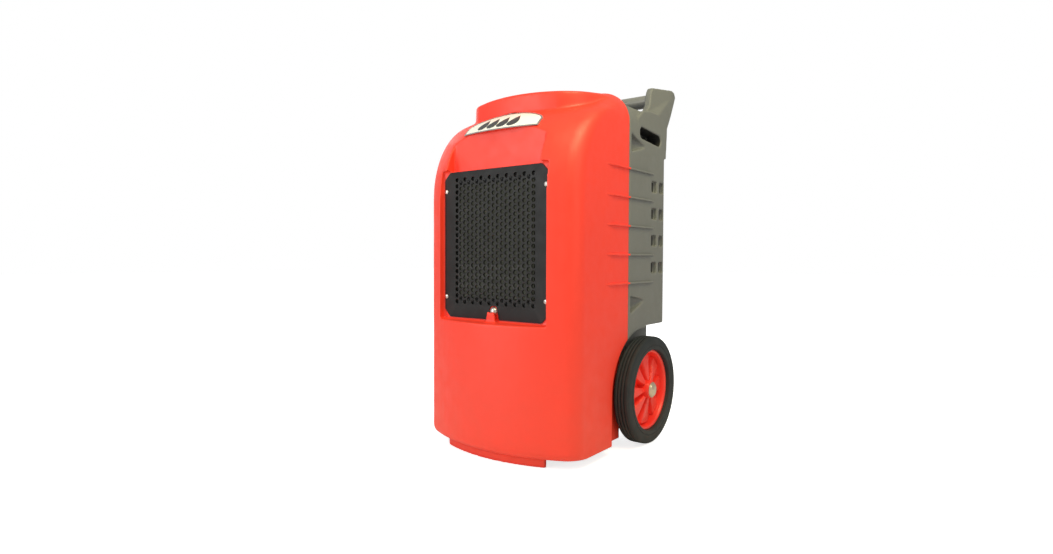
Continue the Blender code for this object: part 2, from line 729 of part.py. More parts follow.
def ear_facets():
    """Wedges whose slanting face turns an ear's front back to the outer side, further at the tip."""
    inner, outer = HALF - 0.020, HALF + 0.010
    levels = (
        (FACET_BOTTOM, BAR_Y - 0.050, SEAM_Y + 0.185),
        (CASING_HEIGHT + EAR_RISE + 0.004, BAR_Y - 0.008, BACK_Y + EAR_OVERHANG - 0.020),
    )
    bm = bmesh.new()
    for side in (1, -1):
        rings = []
        for level, front, back in levels:
            swept = front + (back - front) * (outer - inner) / (HALF - inner)
            plan = [(inner, front), (outer, swept), (outer, front - 0.05), (inner, front - 0.05)]
            rings.append([bm.verts.new((side * x, y, level)) for x, y in plan])
        lower, upper = rings
        bm.faces.new(lower)
        bm.faces.new(upper)
        bm.faces.new((lower[0], lower[1], upper[1]))
        bm.faces.new((lower[0], upper[1], upper[0]))
        for i in range(1, 4):
            after = (i + 1) % 4
            bm.faces.new((lower[i], lower[after], upper[after], upper[i]))
    return add_object("ear_facets", bm)


def hand_slots(name, extra, depth):
    """Sloping round-ended pockets in both sides, below the ears."""
    radius = 0.014 + extra
    start = (SEAM_Y + 0.078, CASING_HEIGHT - 0.114)
    end = (SEAM_Y + 0.180, CASING_HEIGHT - 0.121)
    outline = arc(*start, radius, 90, 270, 6) + arc(*end, radius, -90, 90, 6)
    right = prism(name, [outline], "x", HALF - depth, HALF + 0.02)
    left = prism(name + "_left", [outline], "x", -HALF - 0.02, -HALF + depth)
    return right, left


def side_windows(name):
    """Four small blind windows in each side wall, each divided by an upright bar."""
    count = 4
    spans = []
    for side in (1, -1):
        for step in range(count):
            height = WINDOW_TOP - (WINDOW_TOP - WINDOW_BOTTOM) * step / (count - 1)
            low, high = height - WINDOW_HALF, height + WINDOW_HALF
            for start, end in ((0.138, 0.172), (0.188, 0.217)):
                inner, outer = sorted((side * (HALF - WINDOW_DEPTH), side * (HALF + 0.02)))
                spans.append(((inner, SEAM_Y + start, low), (outer, SEAM_Y + end, high)))
    return boxes(name, spans)


def window_backing():
    """Keeps the wall thick behind the windows, so that they are blind pockets."""
    low, high = WINDOW_BOTTOM - WINDOW_HALF - REAR_WALL, WINDOW_TOP + WINDOW_HALF + REAR_WALL
    spans = []
    for side in (1, -1):
        inner, outer = sorted((side * (HALF - WINDOW_DEPTH - REAR_WALL), side * (HALF + 0.01)))
        spans.append(((inner, SEAM_Y + 0.132, low), (outer, BACK_Y + 0.01, high)))
    return boxes("window_backing", spans)


def bolt_pockets():
    """Triangular pockets, deepest at the seam, that the casing bolts are reached through."""
    bm = bmesh.new()
    for side in (1, -1):
        for height, lean in zip(BOLT_HEIGHTS, (-0.002, 0.010)):
            front = BOLT_HEAD_Y
            tip = SEAM_Y + 0.098
            deep = side * (HALF - 0.026)
            out = side * (HALF + 0.02)
            low, high, point = height - 0.024, height + 0.026, height + lean
            corners = [
                (deep, front, low), (deep, front, high), (side * (HALF - 0.001), tip, point),
                (out, front, low), (out, front, high), (out, tip, point),
            ]
            verts = [bm.verts.new(corner) for corner in corners]
            for face in ((0, 1, 2), (3, 4, 5), (0, 1, 4, 3), (1, 2, 5, 4), (2, 0, 3, 5)):
                bm.faces.new([verts[i] for i in face])
    return add_object("bolt_pockets", bm)


def make_rear_casing():
    front = SEAM_Y + GAP
    casing = rear_box("rear_casing", finish="grey_casing")
    lower = boxes("lower_body", [((-WELL_X, front, FLOOR_Z), (WELL_X, LOWER_BACK_Y, BOX_BOTTOM + 0.004))])
    fenders = boxes("fenders", [((-HALF, front, FLOOR_Z + 0.01), (HALF, AXLE_Y + 0.020, BOX_BOTTOM + 0.003))])
    join(casing, lower, fenders, *ears())
    wall = REAR_WALL
    void = rear_box("rear_void", wall, front - 0.01)
    low_void = boxes("lower_void", [
        (
            (-WELL_X + wall, front - 0.01, FLOOR_Z - 0.01),
            (WELL_X - wall, LOWER_BACK_Y - wall, BOX_BOTTOM + 0.03),
        )
    ])
    join(void, low_void)
    recess_wall = boxes("recess_wall", [
        (
            (-RECESS_HALF - wall, RECESS_FLOOR - wall, RECESS_BOTTOM - wall),
            (RECESS_HALF + wall, BACK_Y + 0.01, RECESS_TOP + wall),
        )
    ])
    bay_wall = boxes("bay_wall", [
        ((-HALF, BAY_FRONT - wall, BAY_FLOOR - wall), (HALF, BACK_Y + 0.01, CASING_HEIGHT + 0.02))
    ])
    cut(void, recess_wall, bay_wall)
    cut(void, *hand_slots("slot_wall", 0.004, 0.034))
    cut(void, *wheel_arches("rear_arch_wall", wall))
    cut(void, bolt_bosses("rear_bosses", SEAM_Y - 0.02, BOLT_HEAD_Y + 0.001))
    pocket_backing = boxes("pocket_backing", [
        (
            (side * HALF - 0.032, SEAM_Y - 0.02, height - 0.032),
            (side * HALF + 0.032, SEAM_Y + 0.105, height + 0.034),
        )
        for side, height in bolt_places()
    ])
    cut(void, pocket_backing, window_backing())
    cut(casing, void)
    join(casing, side_ribs("rear_ribs", SEAM_Y + GAP, rib_outlines()[2]))
    recess = boxes("recess", [
        ((-RECESS_HALF, RECESS_FLOOR, RECESS_BOTTOM), (RECESS_HALF, BACK_Y + 0.02, RECESS_TOP))
    ])
    outlet = boxes("outlet", [
        (
            (-OUTLET_HALF + 0.012, RECESS_FLOOR - 0.02, OUTLET_BOTTOM + 0.012),
            (OUTLET_HALF - 0.012, RECESS_FLOOR + 0.02, OUTLET_TOP - 0.012),
        )
    ])
    panel_way = boxes("panel_way", [
        (
            (-PANEL_HALF + 0.014, RECESS_FLOOR - 0.02, PANEL_BOTTOM + 0.014),
            (PANEL_HALF - 0.014, RECESS_FLOOR + 0.02, PANEL_TOP - 0.014),
        )
    ])
    bay = boxes("bay", [((-EAR_INNER, BAY_FRONT, BAY_FLOOR), (EAR_INNER, BACK_Y + 0.1, CASING_HEIGHT + 0.1))])
    cut(casing, recess, outlet, panel_way, bay)
    cut(casing, *hand_slots("slot", 0.0, 0.030))
    cut(casing, side_windows("windows"), bolt_pockets(), bolt_holes())
    cut(casing, cylinders("bar_holes", "x", bar_ends(), BAR_RADIUS + FIT, 2 * BAR_SEAT, 24))
    cut(casing, cylinders("axle_way", "x", [(0, AXLE_Y, AXLE_Z)], AXLE_RADIUS + FIT, BODY_WIDTH, 24))
    cut(casing, *wheel_arches("rear_arch"))
    holes = [(x, RECESS_FLOOR, z) for x, z in panel_screw_places()]
    cut(casing, cylinders("panel_holes", "y", holes, SCREW_RADIUS + FIT, 0.03, 12))
    cut(casing, cylinders("hose_way", "y", [HOSE_PLACE], HOSE_RADIUS + FIT, 0.05, 16))


def bar_ends():
    return [(side * EAR_INNER, BAR_Y, BAR_Z) for side in (1, -1)]


def panel_screw_places():
    inset = 0.007
    return [
        (side * (PANEL_HALF - inset), height)
        for side in (1, -1)
        for height in (PANEL_TOP - inset, PANEL_BOTTOM + inset)
    ]


def badge_outline(margin=0.0):
    """A straight lower edge, short upright ends and an arch, as (x, z)."""
    half = BADGE_WIDTH / 2 + margin
    low = BADGE_BOTTOM - margin
    side = BADGE_BOTTOM + 0.020
    rise = BADGE_RISE + margin
    right = []
    for step in range(1, 5):
        turn = math.radians(18 * step)
        across = math.cos(turn) ** BADGE_SHOULDER
        right.append((half * across, side + rise * math.sin(turn) ** BADGE_SHOULDER))
    left = [(-x, z) for x, z in reversed(right)]
    return [(-half, low), (half, low), (half, side)] + right + [(0.0, side + rise)] + left + [(-half, side)]


def make_badge():
    """A bowed plate lying on the rolled top front, with an arched upper edge."""
    badge = prism("badge", [badge_outline()], "y", APEX_Y, SEAM_Y - 0.15, "badge_white")
    outer = front_form("badge_outer", -0.0028, SKIRT_BOTTOM - 0.01)
    inner = front_form("badge_inner", 0.0, SKIRT_BOTTOM - 0.02, SEAM_Y + 0.02)
    inner.location = (0.0, -1.3 * GAP, 1.3 * GAP)
    combine(badge, outer, "INTERSECT")
    cut(badge, inner)


# ---- grille, filter and fasteners


def make_grille():
    """A flat steel plate with clipped corners, a field of staggered holes and a notch at the bottom."""
    half = PLATE_WIDTH / 2
    clip = 0.020
    outline = [
        (-half + clip, PLATE_BOTTOM), (-LUG_HALF - 0.002, PLATE_BOTTOM), (-NOTCH_HALF, LUG_TOP),
        (-NOTCH_HALF, STUD_Z + 0.005), (-NOTCH_HALF + 0.005, NOTCH_TOP), (NOTCH_HALF - 0.005, NOTCH_TOP),
        (NOTCH_HALF, STUD_Z + 0.005), (NOTCH_HALF, LUG_TOP), (LUG_HALF + 0.002, PLATE_BOTTOM),
        (half - clip, PLATE_BOTTOM), (half, PLATE_BOTTOM + clip),
        (half, PLATE_TOP - clip), (half - clip, PLATE_TOP), (-half + clip, PLATE_TOP),
        (-half, PLATE_TOP - clip), (-half, PLATE_BOTTOM + clip),
    ]
    plate = prism("grille_plate", [outline], "y", PLATE_Y, PLATE_Y + SHEET, "coated_steel")
    columns, rows = 7, 8
    low, high = PLATE_BOTTOM + 0.055, PLATE_TOP - 0.032
    pitch = (high - low) / (rows - 0.5)
    reach = AIR_HALF - 0.022
    places = []
    for column in range(columns):
        x = -reach + 2 * reach * column / (columns - 1)
        for row in range(rows):
            shift = 0.5 * (column % 2)
            places.append((x, PLATE_Y, low + pitch * (row + shift)))
    cut(plate, cylinders("grille_holes", "y", places, 0.0155, 0.02, 6))
    cut(plate, cylinders("plate_screw_holes", "y", screw_places(), SCREW_RADIUS + FIT, 0.02, 12))


def make_filter():
    edge = 0.0005
    front = POCKET_FLOOR + 0.0005
    low = (-AIR_HALF + edge, front, AIR_BOTTOM + edge)
    high = (AIR_HALF - edge, front + FILTER_DEPTH, AIR_TOP - edge)
    boxes("air_filter", [(low, high)], "filter_foam")


def fastener(name, axis, place, head, rise, shank, length, finish="zinc", steps=12):
    """A domed head above its seat, with its shank below it. Height runs out along the axis."""
    curve = [(head * math.sin(t), rise * math.cos(t)) for t in [math.radians(18 * i) for i in range(6)]]
    curve[0] = (0.0, rise)
    profile = curve[:-1] + [(head, 0.0), (shank, 0.0), (shank, -length), (0.0, -length)]
    return turned(name, axis, place, profile, steps, finish)


def make_fasteners():
    seat = PLATE_Y - GAP
    for index, (x, _, z) in enumerate(screw_places()):
        fastener(f"grille_screw_{index + 1}", "-y", (x, seat, z), 0.006, 0.003, SCREW_RADIUS, 0.012)
    stud_place = (0, POCKET_FLOOR - GAP, STUD_Z)
    fastener("grille_stud", "-y", stud_place, STUD_HEAD, 0.0085, STUD_RADIUS, 0.009, steps=16)
    for index, (side, height) in enumerate(bolt_places()):
        place = (side * BOLT_X, BOLT_HEAD_Y + GAP, height)
        fastener(f"casing_bolt_{index + 1}", "y", place, 0.007, 0.005, BOLT_RADIUS, 0.034)
    for index, (x, z) in enumerate(panel_screw_places()):
        place = (x, RECESS_FLOOR + PANEL_SHEET + 2 * GAP, z)
        fastener(f"panel_screw_{index + 1}", "y", place, 0.0045, 0.0025, SCREW_RADIUS, 0.010)


# ---- wheels and base


def tyre_profile():
    """The tyre's section as (radius, place along the axle), with two grooves in the tread."""
    half = TYRE_WIDTH / 2
    outside = arc(WHEEL_RADIUS - 0.008, half - 0.008, 0.008, 90, 15, 2)
    tread = []
    for middle in (0.007, -0.007):
        tread += [
            (WHEEL_RADIUS, middle + 0.0018), (WHEEL_RADIUS - 0.004, middle + 0.0012),
            (WHEEL_RADIUS - 0.004, middle - 0.0012), (WHEEL_RADIUS, middle - 0.0018),
        ]
    inside = [(r, -h) for r, h in reversed(outside)]
    seat = HUB_RADIUS + GAP
    return [(seat, half - 0.004), (HUB_RADIUS + 0.005, half)] + outside + tread + inside + [
        (HUB_RADIUS + 0.005, -half), (seat, -half + 0.004)
    ]


def hub_profile():
    """Rim, dished web and boss as (radius, place along the axle, outwards), round the bore."""
    half = HUB_RIM_HALF
    outer, inner = HUB_OUTER - HUB_MIDDLE, HUB_INNER - HUB_MIDDLE
    return [
        (BORE, outer), (0.024, outer), (0.027, outer - 0.009), (0.034, -0.0075),
        (HUB_RADIUS - 0.012, -0.0085), (HUB_RADIUS - 0.007, half), (HUB_RADIUS, half),
        (HUB_RADIUS, -half), (HUB_RADIUS - 0.007, -half), (HUB_RADIUS - 0.012, -0.0135),
        (0.034, -0.0125), (0.022, -0.0145), (0.020, inner), (BORE, inner),
    ]


def hub_spokes(name, count=8):
    """Wedge spokes on the web, high and narrow at the boss, low and broad at the rim, before turning."""
    bm = bmesh.new()
    for step in range(count):
        turn = Matrix.Rotation(math.radians(360 * step / count), 4, "Z")
        near, far = 0.026, HUB_RADIUS - 0.010
        ring = [
            (near, -0.007, -0.010), (near, 0.007, -0.010), (near, 0.005, 0.012), (near, -0.005, 0.012),
            (far, -0.030, -0.011), (far, 0.030, -0.011), (far, 0.026, 0.0), (far, -0.026, 0.0),
        ]
        verts = [bm.verts.new(turn @ Vector(corner)) for corner in ring]
        for face in ((0, 1, 2, 3), (4, 5, 6, 7), (0, 1, 5, 4), (1, 2, 6, 5), (2, 3, 7, 6), (3, 0, 4, 7)):
            bm.faces.new([verts[i] for i in face])
    return add_object(name, bm)


def make_wheels():
    for name, side, axis in (("left", -1, "-x"), ("right", 1, "x")):
        tyre_at = (side * (TYRE_OUTER - TYRE_WIDTH / 2), AXLE_Y, AXLE_Z)
        turned(f"tyre_{name}", axis, tyre_at, tyre_profile(), 32, "rubber", closed=True)
        hub_at = (side * HUB_MIDDLE, AXLE_Y, AXLE_Z)
        hub = turned(f"wheel_hub_{name}", axis, hub_at, hub_profile(), 32, "hub_red", closed=True)
        spokes = hub_spokes(f"spokes_{name}")
        spokes.matrix_world = hub.matrix_world
        join(hub, spokes)
        cap_at = (side * (HUB_OUTER + GAP), AXLE_Y, AXLE_Z)
        fastener(f"hub_cap_{name}", axis, cap_at, CAP_RADIUS, 0.0085, CAP_RADIUS, 0.0, "cap_beige", 24)
        spacer_at = (side * (WELL_X + HUB_INNER) / 2, AXLE_Y, AXLE_Z)
        reach = (HUB_INNER - WELL_X) / 2 - GAP
        ring = [(0.018, reach), (0.018, -reach), (BORE, -reach), (BORE, reach)]
        turned(f"axle_spacer_{name}", "x", spacer_at, ring, 24, "galvanised", closed=True)
    axle = [(0.0, HUB_OUTER), (AXLE_RADIUS, HUB_OUTER), (AXLE_RADIUS, -HUB_OUTER), (0.0, -HUB_OUTER)]
    turned("axle", "x", (0, AXLE_Y, AXLE_Z), axle, 24, "zinc")


def make_base():
    """The steel floor that the machine is built on, with two upright plates that carry the axle."""
    side = WELL_X - REAR_WALL - 0.002
    thick = 0.004
    front = APEX_Y + TUCK + LIP_HALF**2 / (2 * BOW_RADIUS) + LIP_DEPTH + 0.008
    top = FLOOR_Z - GAP
    plan = rounded_rectangle(-side, front, side, LOWER_BACK_Y - REAR_WALL - 0.001, 0.03, 3)
    prism("base_plate", [plan], "z", top - thick, top, "galvanised")
    for name, turn in (("left", -1), ("right", 1)):
        outline = [(AXLE_Y - 0.045, FLOOR_Z), (AXLE_Y + 0.045, FLOOR_Z)]
        outline += arc(AXLE_Y, AXLE_Z, 0.024, 0, 180, 8)
        edges = sorted((turn * (side - 0.010), turn * (side - 0.014)))
        bracket = prism(f"axle_bracket_{name}", [outline], "x", *edges, "galvanised")
        hole_at = (turn * side, AXLE_Y, AXLE_Z)
        cut(bracket, cylinders(f"bracket_hole_{name}", "x", [hole_at], AXLE_RADIUS + FIT, 0.06, 24))


def make_handle_bar():
    length = 2 * (EAR_INNER + BAR_SEAT - 0.0005)
    cylinders("handle_bar", "x", [(0, BAR_Y, BAR_Z)], BAR_RADIUS, length, 24, "tube_grey")


# ---- inside the machine


def make_coil(name, front, finish):
    """A finned block with its tubes' round ends standing out on the right."""
    low = (-COIL_HALF, front, COIL_BOTTOM)
    high = (COIL_HALF, front + COIL_DEPTH, COIL_TOP)
    block = boxes(name, [(low, high)], finish)
    bm = bmesh.new()
    for step in range(COIL_BENDS):
        height = COIL_BOTTOM + BEND_PITCH * (step + 0.5)
        ring = Matrix.Translation((COIL_HALF - 0.002, front + COIL_DEPTH / 2, height))
        add_ring(bm, ring @ Matrix.Rotation(math.radians(90), 4, "X"), 0.011, 0.0042)
    return join(block, add_object(name + "_bends", bm))


def add_ring(bm, place, major, minor, around=10, section=6):
    """A ring of round section about the Z axis of its place."""
    rings = []
    for i in range(around):
        turn = 2 * math.pi * i / around
        ring = []
        for j in range(section):
            tilt = 2 * math.pi * j / section
            reach = major + minor * math.cos(tilt)
            corner = Vector((reach * math.cos(turn), reach * math.sin(turn), minor * math.sin(tilt)))
            ring.append(bm.verts.new(place @ corner))
        rings.append(ring)
    for i in range(around):
        here, after = rings[i], rings[(i + 1) % around]
        for j in range(section):
            k = (j + 1) % section
            bm.faces.new((here[j], here[k], after[k], after[j]))


def make_tray():
    front = EVAPORATOR_Y - 0.006
    low = (-COIL_HALF - 0.006, front, TRAY_TOP - 0.034)
    high = (COIL_HALF + 0.006, front + 2 * COIL_DEPTH + 0.024, TRAY_TOP)
    tray = boxes("drip_tray", [(low, high)], "tray_plastic")
    inside = boxes("tray_inside", [
        ((low[0] + 0.003, low[1] + 0.003, low[2] + 0.003), (high[0] - 0.003, high[1] - 0.003, high[2] + 0.01))
    ])
    cut(tray, inside)


def make_fan():
    duct = FAN_RADIUS + 0.006
    half = COIL_HALF + 0.012
    shroud = boxes("fan_shroud", [
        ((-half, SHROUD_Y, FAN_Z - half), (half, SHROUD_Y + 0.003, FAN_Z + half))
    ], "galvanised")
    collar = cylinders("collar", "y", [(0, SHROUD_Y + 0.021, FAN_Z)], duct + 0.002, 0.038, 40)
    join(shroud, collar)
    cut(shroud, cylinders("fan_way", "y", [(0, SHROUD_Y, FAN_Z)], duct, 0.12, 40))
    profile = [(0.034, 0.012), (0.034, -0.012), (SHAFT_RADIUS + FIT, -0.012), (SHAFT_RADIUS + FIT, 0.012)]
    impeller = turned("fan_impeller", "y", (0, FAN_Y, FAN_Z), profile, 24, "black_plastic", closed=True)
    bm = bmesh.new()
    blades = 5
    for step in range(blades):
        spin = Matrix.Rotation(math.radians(360 * step / blades), 4, "Z")
        near, far, pitch = 0.028, FAN_RADIUS, 0.30
        corners = ((near, -0.014), (near, 0.014), (far, 0.036), (far, -0.036))
        ring = [(reach, y, y * pitch) for reach, y in corners]
        lower = [bm.verts.new(spin @ Vector(corner)) for corner in ring]
        upper = [bm.verts.new(spin @ (Vector(corner) + Vector((0, 0, 0.0025)))) for corner in ring]
        bm.faces.new(lower)
        bm.faces.new(upper)
        for i in range(4):
            bm.faces.new((lower[i], lower[(i + 1) % 4], upper[(i + 1) % 4], upper[i]))
    fins = add_object("blades", bm)
    fins.matrix_world = impeller.matrix_world
    join(impeller, fins)
    shaft = MOTOR_Y - FAN_Y + 0.012
    motor = [
        (0.0, shaft), (SHAFT_RADIUS, shaft), (SHAFT_RADIUS, 0.006), (0.018, 0.0), (MOTOR_RADIUS - 0.005, 0.0),
        (MOTOR_RADIUS, -0.006), (MOTOR_RADIUS, -MOTOR_LENGTH + 0.006), (MOTOR_RADIUS - 0.006, -MOTOR_LENGTH),
        (0.0, -MOTOR_LENGTH),
    ]
    turned("fan_motor", "-y", (0, MOTOR_Y, FAN_Z), motor, 28, "black_enamel")
    make_motor_mount(half)


def make_motor_mount(half):
    """A ring round the motor on two arms that turn forward to the shroud's edges."""
    start = MOTOR_Y + 0.030
    spans = [
        ((-half + 0.001, start, FAN_Z - 0.012), (half - 0.001, start + 0.004, FAN_Z + 0.012)),
    ]
    mount = boxes("motor_mount", spans, "galvanised")
    ring = cylinders("mount_ring", "y", [(0, start + 0.002, FAN_Z)], MOTOR_RADIUS + 0.010, 0.0041, 28)
    sides = boxes("mount_sides", [
        (
            (side * (half - 0.003) - 0.002, SHROUD_Y + 0.003 + GAP, FAN_Z - 0.012),
            (side * (half - 0.003) + 0.002, start + 0.002, FAN_Z + 0.012),
        )
        for side in (1, -1)
    ])
    join(mount, ring, sides)
    cut(mount, cylinders("motor_way", "y", [(0, start, FAN_Z)], MOTOR_RADIUS + FIT, 0.05, 28))


def make_compressor():
    """A welded steel can on three rubber mounts, with the small suction accumulator beside it."""
    x, y, z = COMPRESSOR_PLACE
    radius, height = COMPRESSOR_RADIUS, COMPRESSOR_HEIGHT
    dome = [(radius * math.sin(t), height - 0.035 + 0.035 * math.cos(t)) for t in
            [math.radians(90 * i / 5) for i in range(6)]]
    dome[0] = (0.0, height)
    bottom = [(radius, 0.020), (radius - 0.014, 0.004), (radius - 0.014, 0.0), (0.0, 0.0)]
    can = turned("compressor", "z", (x, y, z), dome + bottom, 32, "black_enamel")
    foot = radius + 0.022
    corners = [(x + foot * math.cos(t), y + foot * math.sin(t)) for t in FOOT_TURNS]
    plate = prism("compressor_foot_plate", [corners], "z", z + 0.001, z + 0.004)
    join(can, plate)
    for index, turn in enumerate(FOOT_TURNS):
        reach = foot - 0.024
        place = (x + reach * math.cos(turn), y + reach * math.sin(turn), FLOOR_Z + GAP)
        top = z + 0.001 - GAP - place[2]
        grommet = [(0.0, top), (0.009, top), (0.007, top / 2), (0.009, 0.0), (0.0, 0.0)]
        turned(f"compressor_mount_{index + 1}", "z", place, grommet, 16, "rubber")
    small = ACCUMULATOR_RADIUS
    shape = [
        (0.0, 0.130), (small - 0.010, 0.128), (small, 0.112),
        (small, 0.018), (small - 0.010, 0.002), (0.0, 0.0),
    ]
    turned("accumulator", "z", ACCUMULATOR_PLACE, shape, 20, "black_enamel")


def make_pipes():
    x, y, z = COMPRESSOR_PLACE
    top = z + COMPRESSOR_HEIGHT
    condenser_back = CONDENSER_Y + COIL_DEPTH
    turn_z = top + 0.022
    out_y = condenser_back + 0.014
    hot = [
        (x, y, top + GAP), (x, y, turn_z), (-COIL_HALF + 0.030, out_y, turn_z),
        (-COIL_HALF + 0.030, out_y, COIL_BOTTOM + 0.060),
        (-COIL_HALF + 0.030, condenser_back + GAP, COIL_BOTTOM + 0.060),
    ]
    tube("discharge_pipe", bent_path(hot, 0.009, 3), 0.004, "copper")
    ax, ay, az = ACCUMULATOR_PLACE
    cold_z = az + 0.130
    side = COIL_HALF + 0.030
    cold = [
        (ax, ay, cold_z + GAP), (ax, ay, cold_z + 0.020), (side, ay, cold_z + 0.020),
        (side, EVAPORATOR_Y + COIL_DEPTH / 2, cold_z + 0.020),
        (side, EVAPORATOR_Y + COIL_DEPTH / 2, COIL_TOP - BEND_PITCH),
        (COIL_HALF + GAP, EVAPORATOR_Y + COIL_DEPTH / 2, COIL_TOP - BEND_PITCH),
    ]
    tube("suction_pipe", bent_path(cold, 0.012, 3), 0.005, "copper")


def make_pump():
    """The condensate pump's tank on the floor, and the hose from it to the outlet at the back."""
    pump = boxes("condensate_pump", [(PUMP_LOW, PUMP_HIGH)], "black_plastic")
    soften(pump, 0.006)
    x, back, z = HOSE_PLACE
    out_x, out_y, out_z = PUMP_HIGH[0] - 0.025, PUMP_HIGH[1] + GAP, PUMP_HIGH[2] - 0.025
    route = [
        (out_x, out_y, out_z), (out_x, out_y + 0.050, out_z), (out_x, SEAM_Y + 0.030, z + 0.030),
        (x, SEAM_Y + 0.030, z + 0.030), (x, SEAM_Y + 0.070, z), (x, back - REAR_WALL - 0.014 - GAP, z),
    ]
    tube("drain_tube", bent_path(route, 0.020, 3), 0.005, "black_plastic")
    radius = HOSE_RADIUS
    outlet = [
        (0.0, 0.038), (0.006, 0.038), (0.0075, 0.030), (0.0065, 0.024), (0.0075, 0.018), (0.0065, 0.012),
        (0.014, 0.010), (0.014, GAP), (radius, GAP), (radius, -REAR_WALL - 0.014), (0.0, -REAR_WALL - 0.014),
    ]
    fitting = turned("hose_outlet", "y", (x, back, z), outlet, 20, "zinc")
    cut(fitting, cylinders("hose_bore", "y", [(x, back + 0.030, z)], 0.004, 0.050, 12))


# ---- the back


def flat_hole(place, size, slack=FIT):
    (x, z), (width, height) = place, size
    return (
        (x - width / 2 - slack, PANEL_BACK - 0.01, z - height / 2 - slack),
        (x + width / 2 + slack, PANEL_FACE + 0.01, z + height / 2 + slack),
    )


def make_control_panel():
    outline = rounded_rectangle(-PANEL_HALF, PANEL_BOTTOM, PANEL_HALF, PANEL_TOP, 0.008, 3)
    panel = prism("control_panel", [outline], "y", PANEL_BACK, PANEL_FACE, "coated_steel")
    cut(panel, boxes("panel_openings", [
        flat_hole(SWITCH_PLACE, SWITCH_SIZE),
        flat_hole(METER_PLACE, METER_SIZE),
        flat_hole(INLET_PLACE, INLET_SIZE),
    ]))
    round_holes = (
        ("button_hole", BUTTON_PLACE, BUTTON_RADIUS),
        ("knob_hole", KNOB_PLACE, SPINDLE_RADIUS),
        ("lamp_hole", LAMP_PLACE, LAMP_RADIUS),
    )
    for name, (x, z), radius in round_holes:
        cut(panel, cylinders(name, "y", [(x, PANEL_FACE, z)], radius + FIT, 0.02, 20))
    holes = [(x, PANEL_FACE, z) for x, z in panel_screw_places()]
    cut(panel, cylinders("screw_ways", "y", holes, SCREW_RADIUS + FIT, 0.02, 12))
    make_controls()


def make_controls():
    """Rocker, push button, dial, hour meter, lamp and mains inlet."""
    x, z = SWITCH_PLACE
    width, height = SWITCH_SIZE
    reach = height / 2 - 0.0015
    pivot_y = PANEL_FACE - 0.002
    outline = [
        (pivot_y - 0.004, z - 0.006), (pivot_y - 0.004, z + 0.006), (PANEL_FACE + 0.0025, z + reach),
        (PANEL_FACE + 0.0055, z + reach), (PANEL_FACE + 0.003, z), (PANEL_FACE + 0.0055, z - reach),
        (PANEL_FACE + 0.0025, z - reach),
    ]
    half = width / 2 - 0.0015
    prism("power_switch", [outline], "x", x - half, x + half, "switch_red")
    x, z = BUTTON_PLACE
    radius = BUTTON_RADIUS
    flange = PANEL_SHEET + GAP
    cap = [
        (0.0, 0.0075), (radius - 0.002, 0.007), (radius, 0.005), (radius, -flange),
        (radius + 0.002, -flange), (radius + 0.002, -flange - 0.002), (0.0, -flange - 0.002),
    ]
    turned("purge_button", "y", (x, PANEL_FACE, z), cap, 24, "button_green")
    x, z = KNOB_PLACE
    knob = [
        (0.0, 0.020), (KNOB_RADIUS - 0.005, 0.020), (KNOB_RADIUS - 0.003, 0.018),
        (KNOB_RADIUS - 0.002, 0.004), (KNOB_RADIUS, 0.002), (KNOB_RADIUS, 2 * GAP),
        (SPINDLE_RADIUS - FIT, 2 * GAP), (SPINDLE_RADIUS - FIT, -0.010), (0.0, -0.010),
    ]
    dial = turned("humidistat_knob", "y", (x, PANEL_FACE, z), knob, 28, "black_plastic")
    pointer = boxes("pointer", [
        ((x - 0.0015, PANEL_FACE + 0.010, z + 0.004), (x + 0.0015, PANEL_FACE + 0.0212, z + 0.017))
    ])
    join(dial, pointer)
    make_meter_and_inlet()
    x, z = LAMP_PLACE
    lens = [
        (0.0, 0.005), (0.003, 0.0042), (LAMP_RADIUS, 0.001), (LAMP_RADIUS, -0.008), (0.0, -0.008),
    ]
    turned("indicator_lamp", "y", (x, PANEL_FACE, z), lens, 16, "lamp_green")


def make_meter_and_inlet():
    x, z = METER_PLACE
    width, height = METER_SIZE
    meter = boxes("hour_meter", [
        (
            (x - width / 2, PANEL_BACK - 0.022, z - height / 2),
            (x + width / 2, PANEL_FACE + 0.002, z + height / 2),
        )
    ], "black_plastic")
    window = boxes("meter_window", [
        (
            (x - width / 2 + 0.006, PANEL_FACE + 0.0008, z - 0.006),
            (x + width / 2 - 0.006, PANEL_FACE + 0.01, z + 0.006),
        )
    ])
    cut(meter, window)
    x, z = INLET_PLACE
    width, height = INLET_SIZE
    inlet = boxes("mains_inlet", [
        (
            (x - width / 2, PANEL_BACK - 0.024, z - height / 2),
            (x + width / 2, PANEL_FACE + 0.003, z + height / 2),
        )
    ], "black_plastic")
    socket = boxes("socket", [
        ((x - 0.012, PANEL_BACK - 0.012, z - 0.009), (x + 0.012, PANEL_FACE + 0.01, z + 0.009))
    ])
    pins = boxes("pins", [
        (
            (x + offset - 0.001, PANEL_BACK - 0.014, z + lift - 0.002),
            (x + offset + 0.001, PANEL_BACK - 0.001, z + lift + 0.002),
        )
        for offset, lift in ((-0.006, -0.003), (0.0, 0.002), (0.006, -0.003))
    ])
    cut(inlet, socket)
    join(inlet, pins)


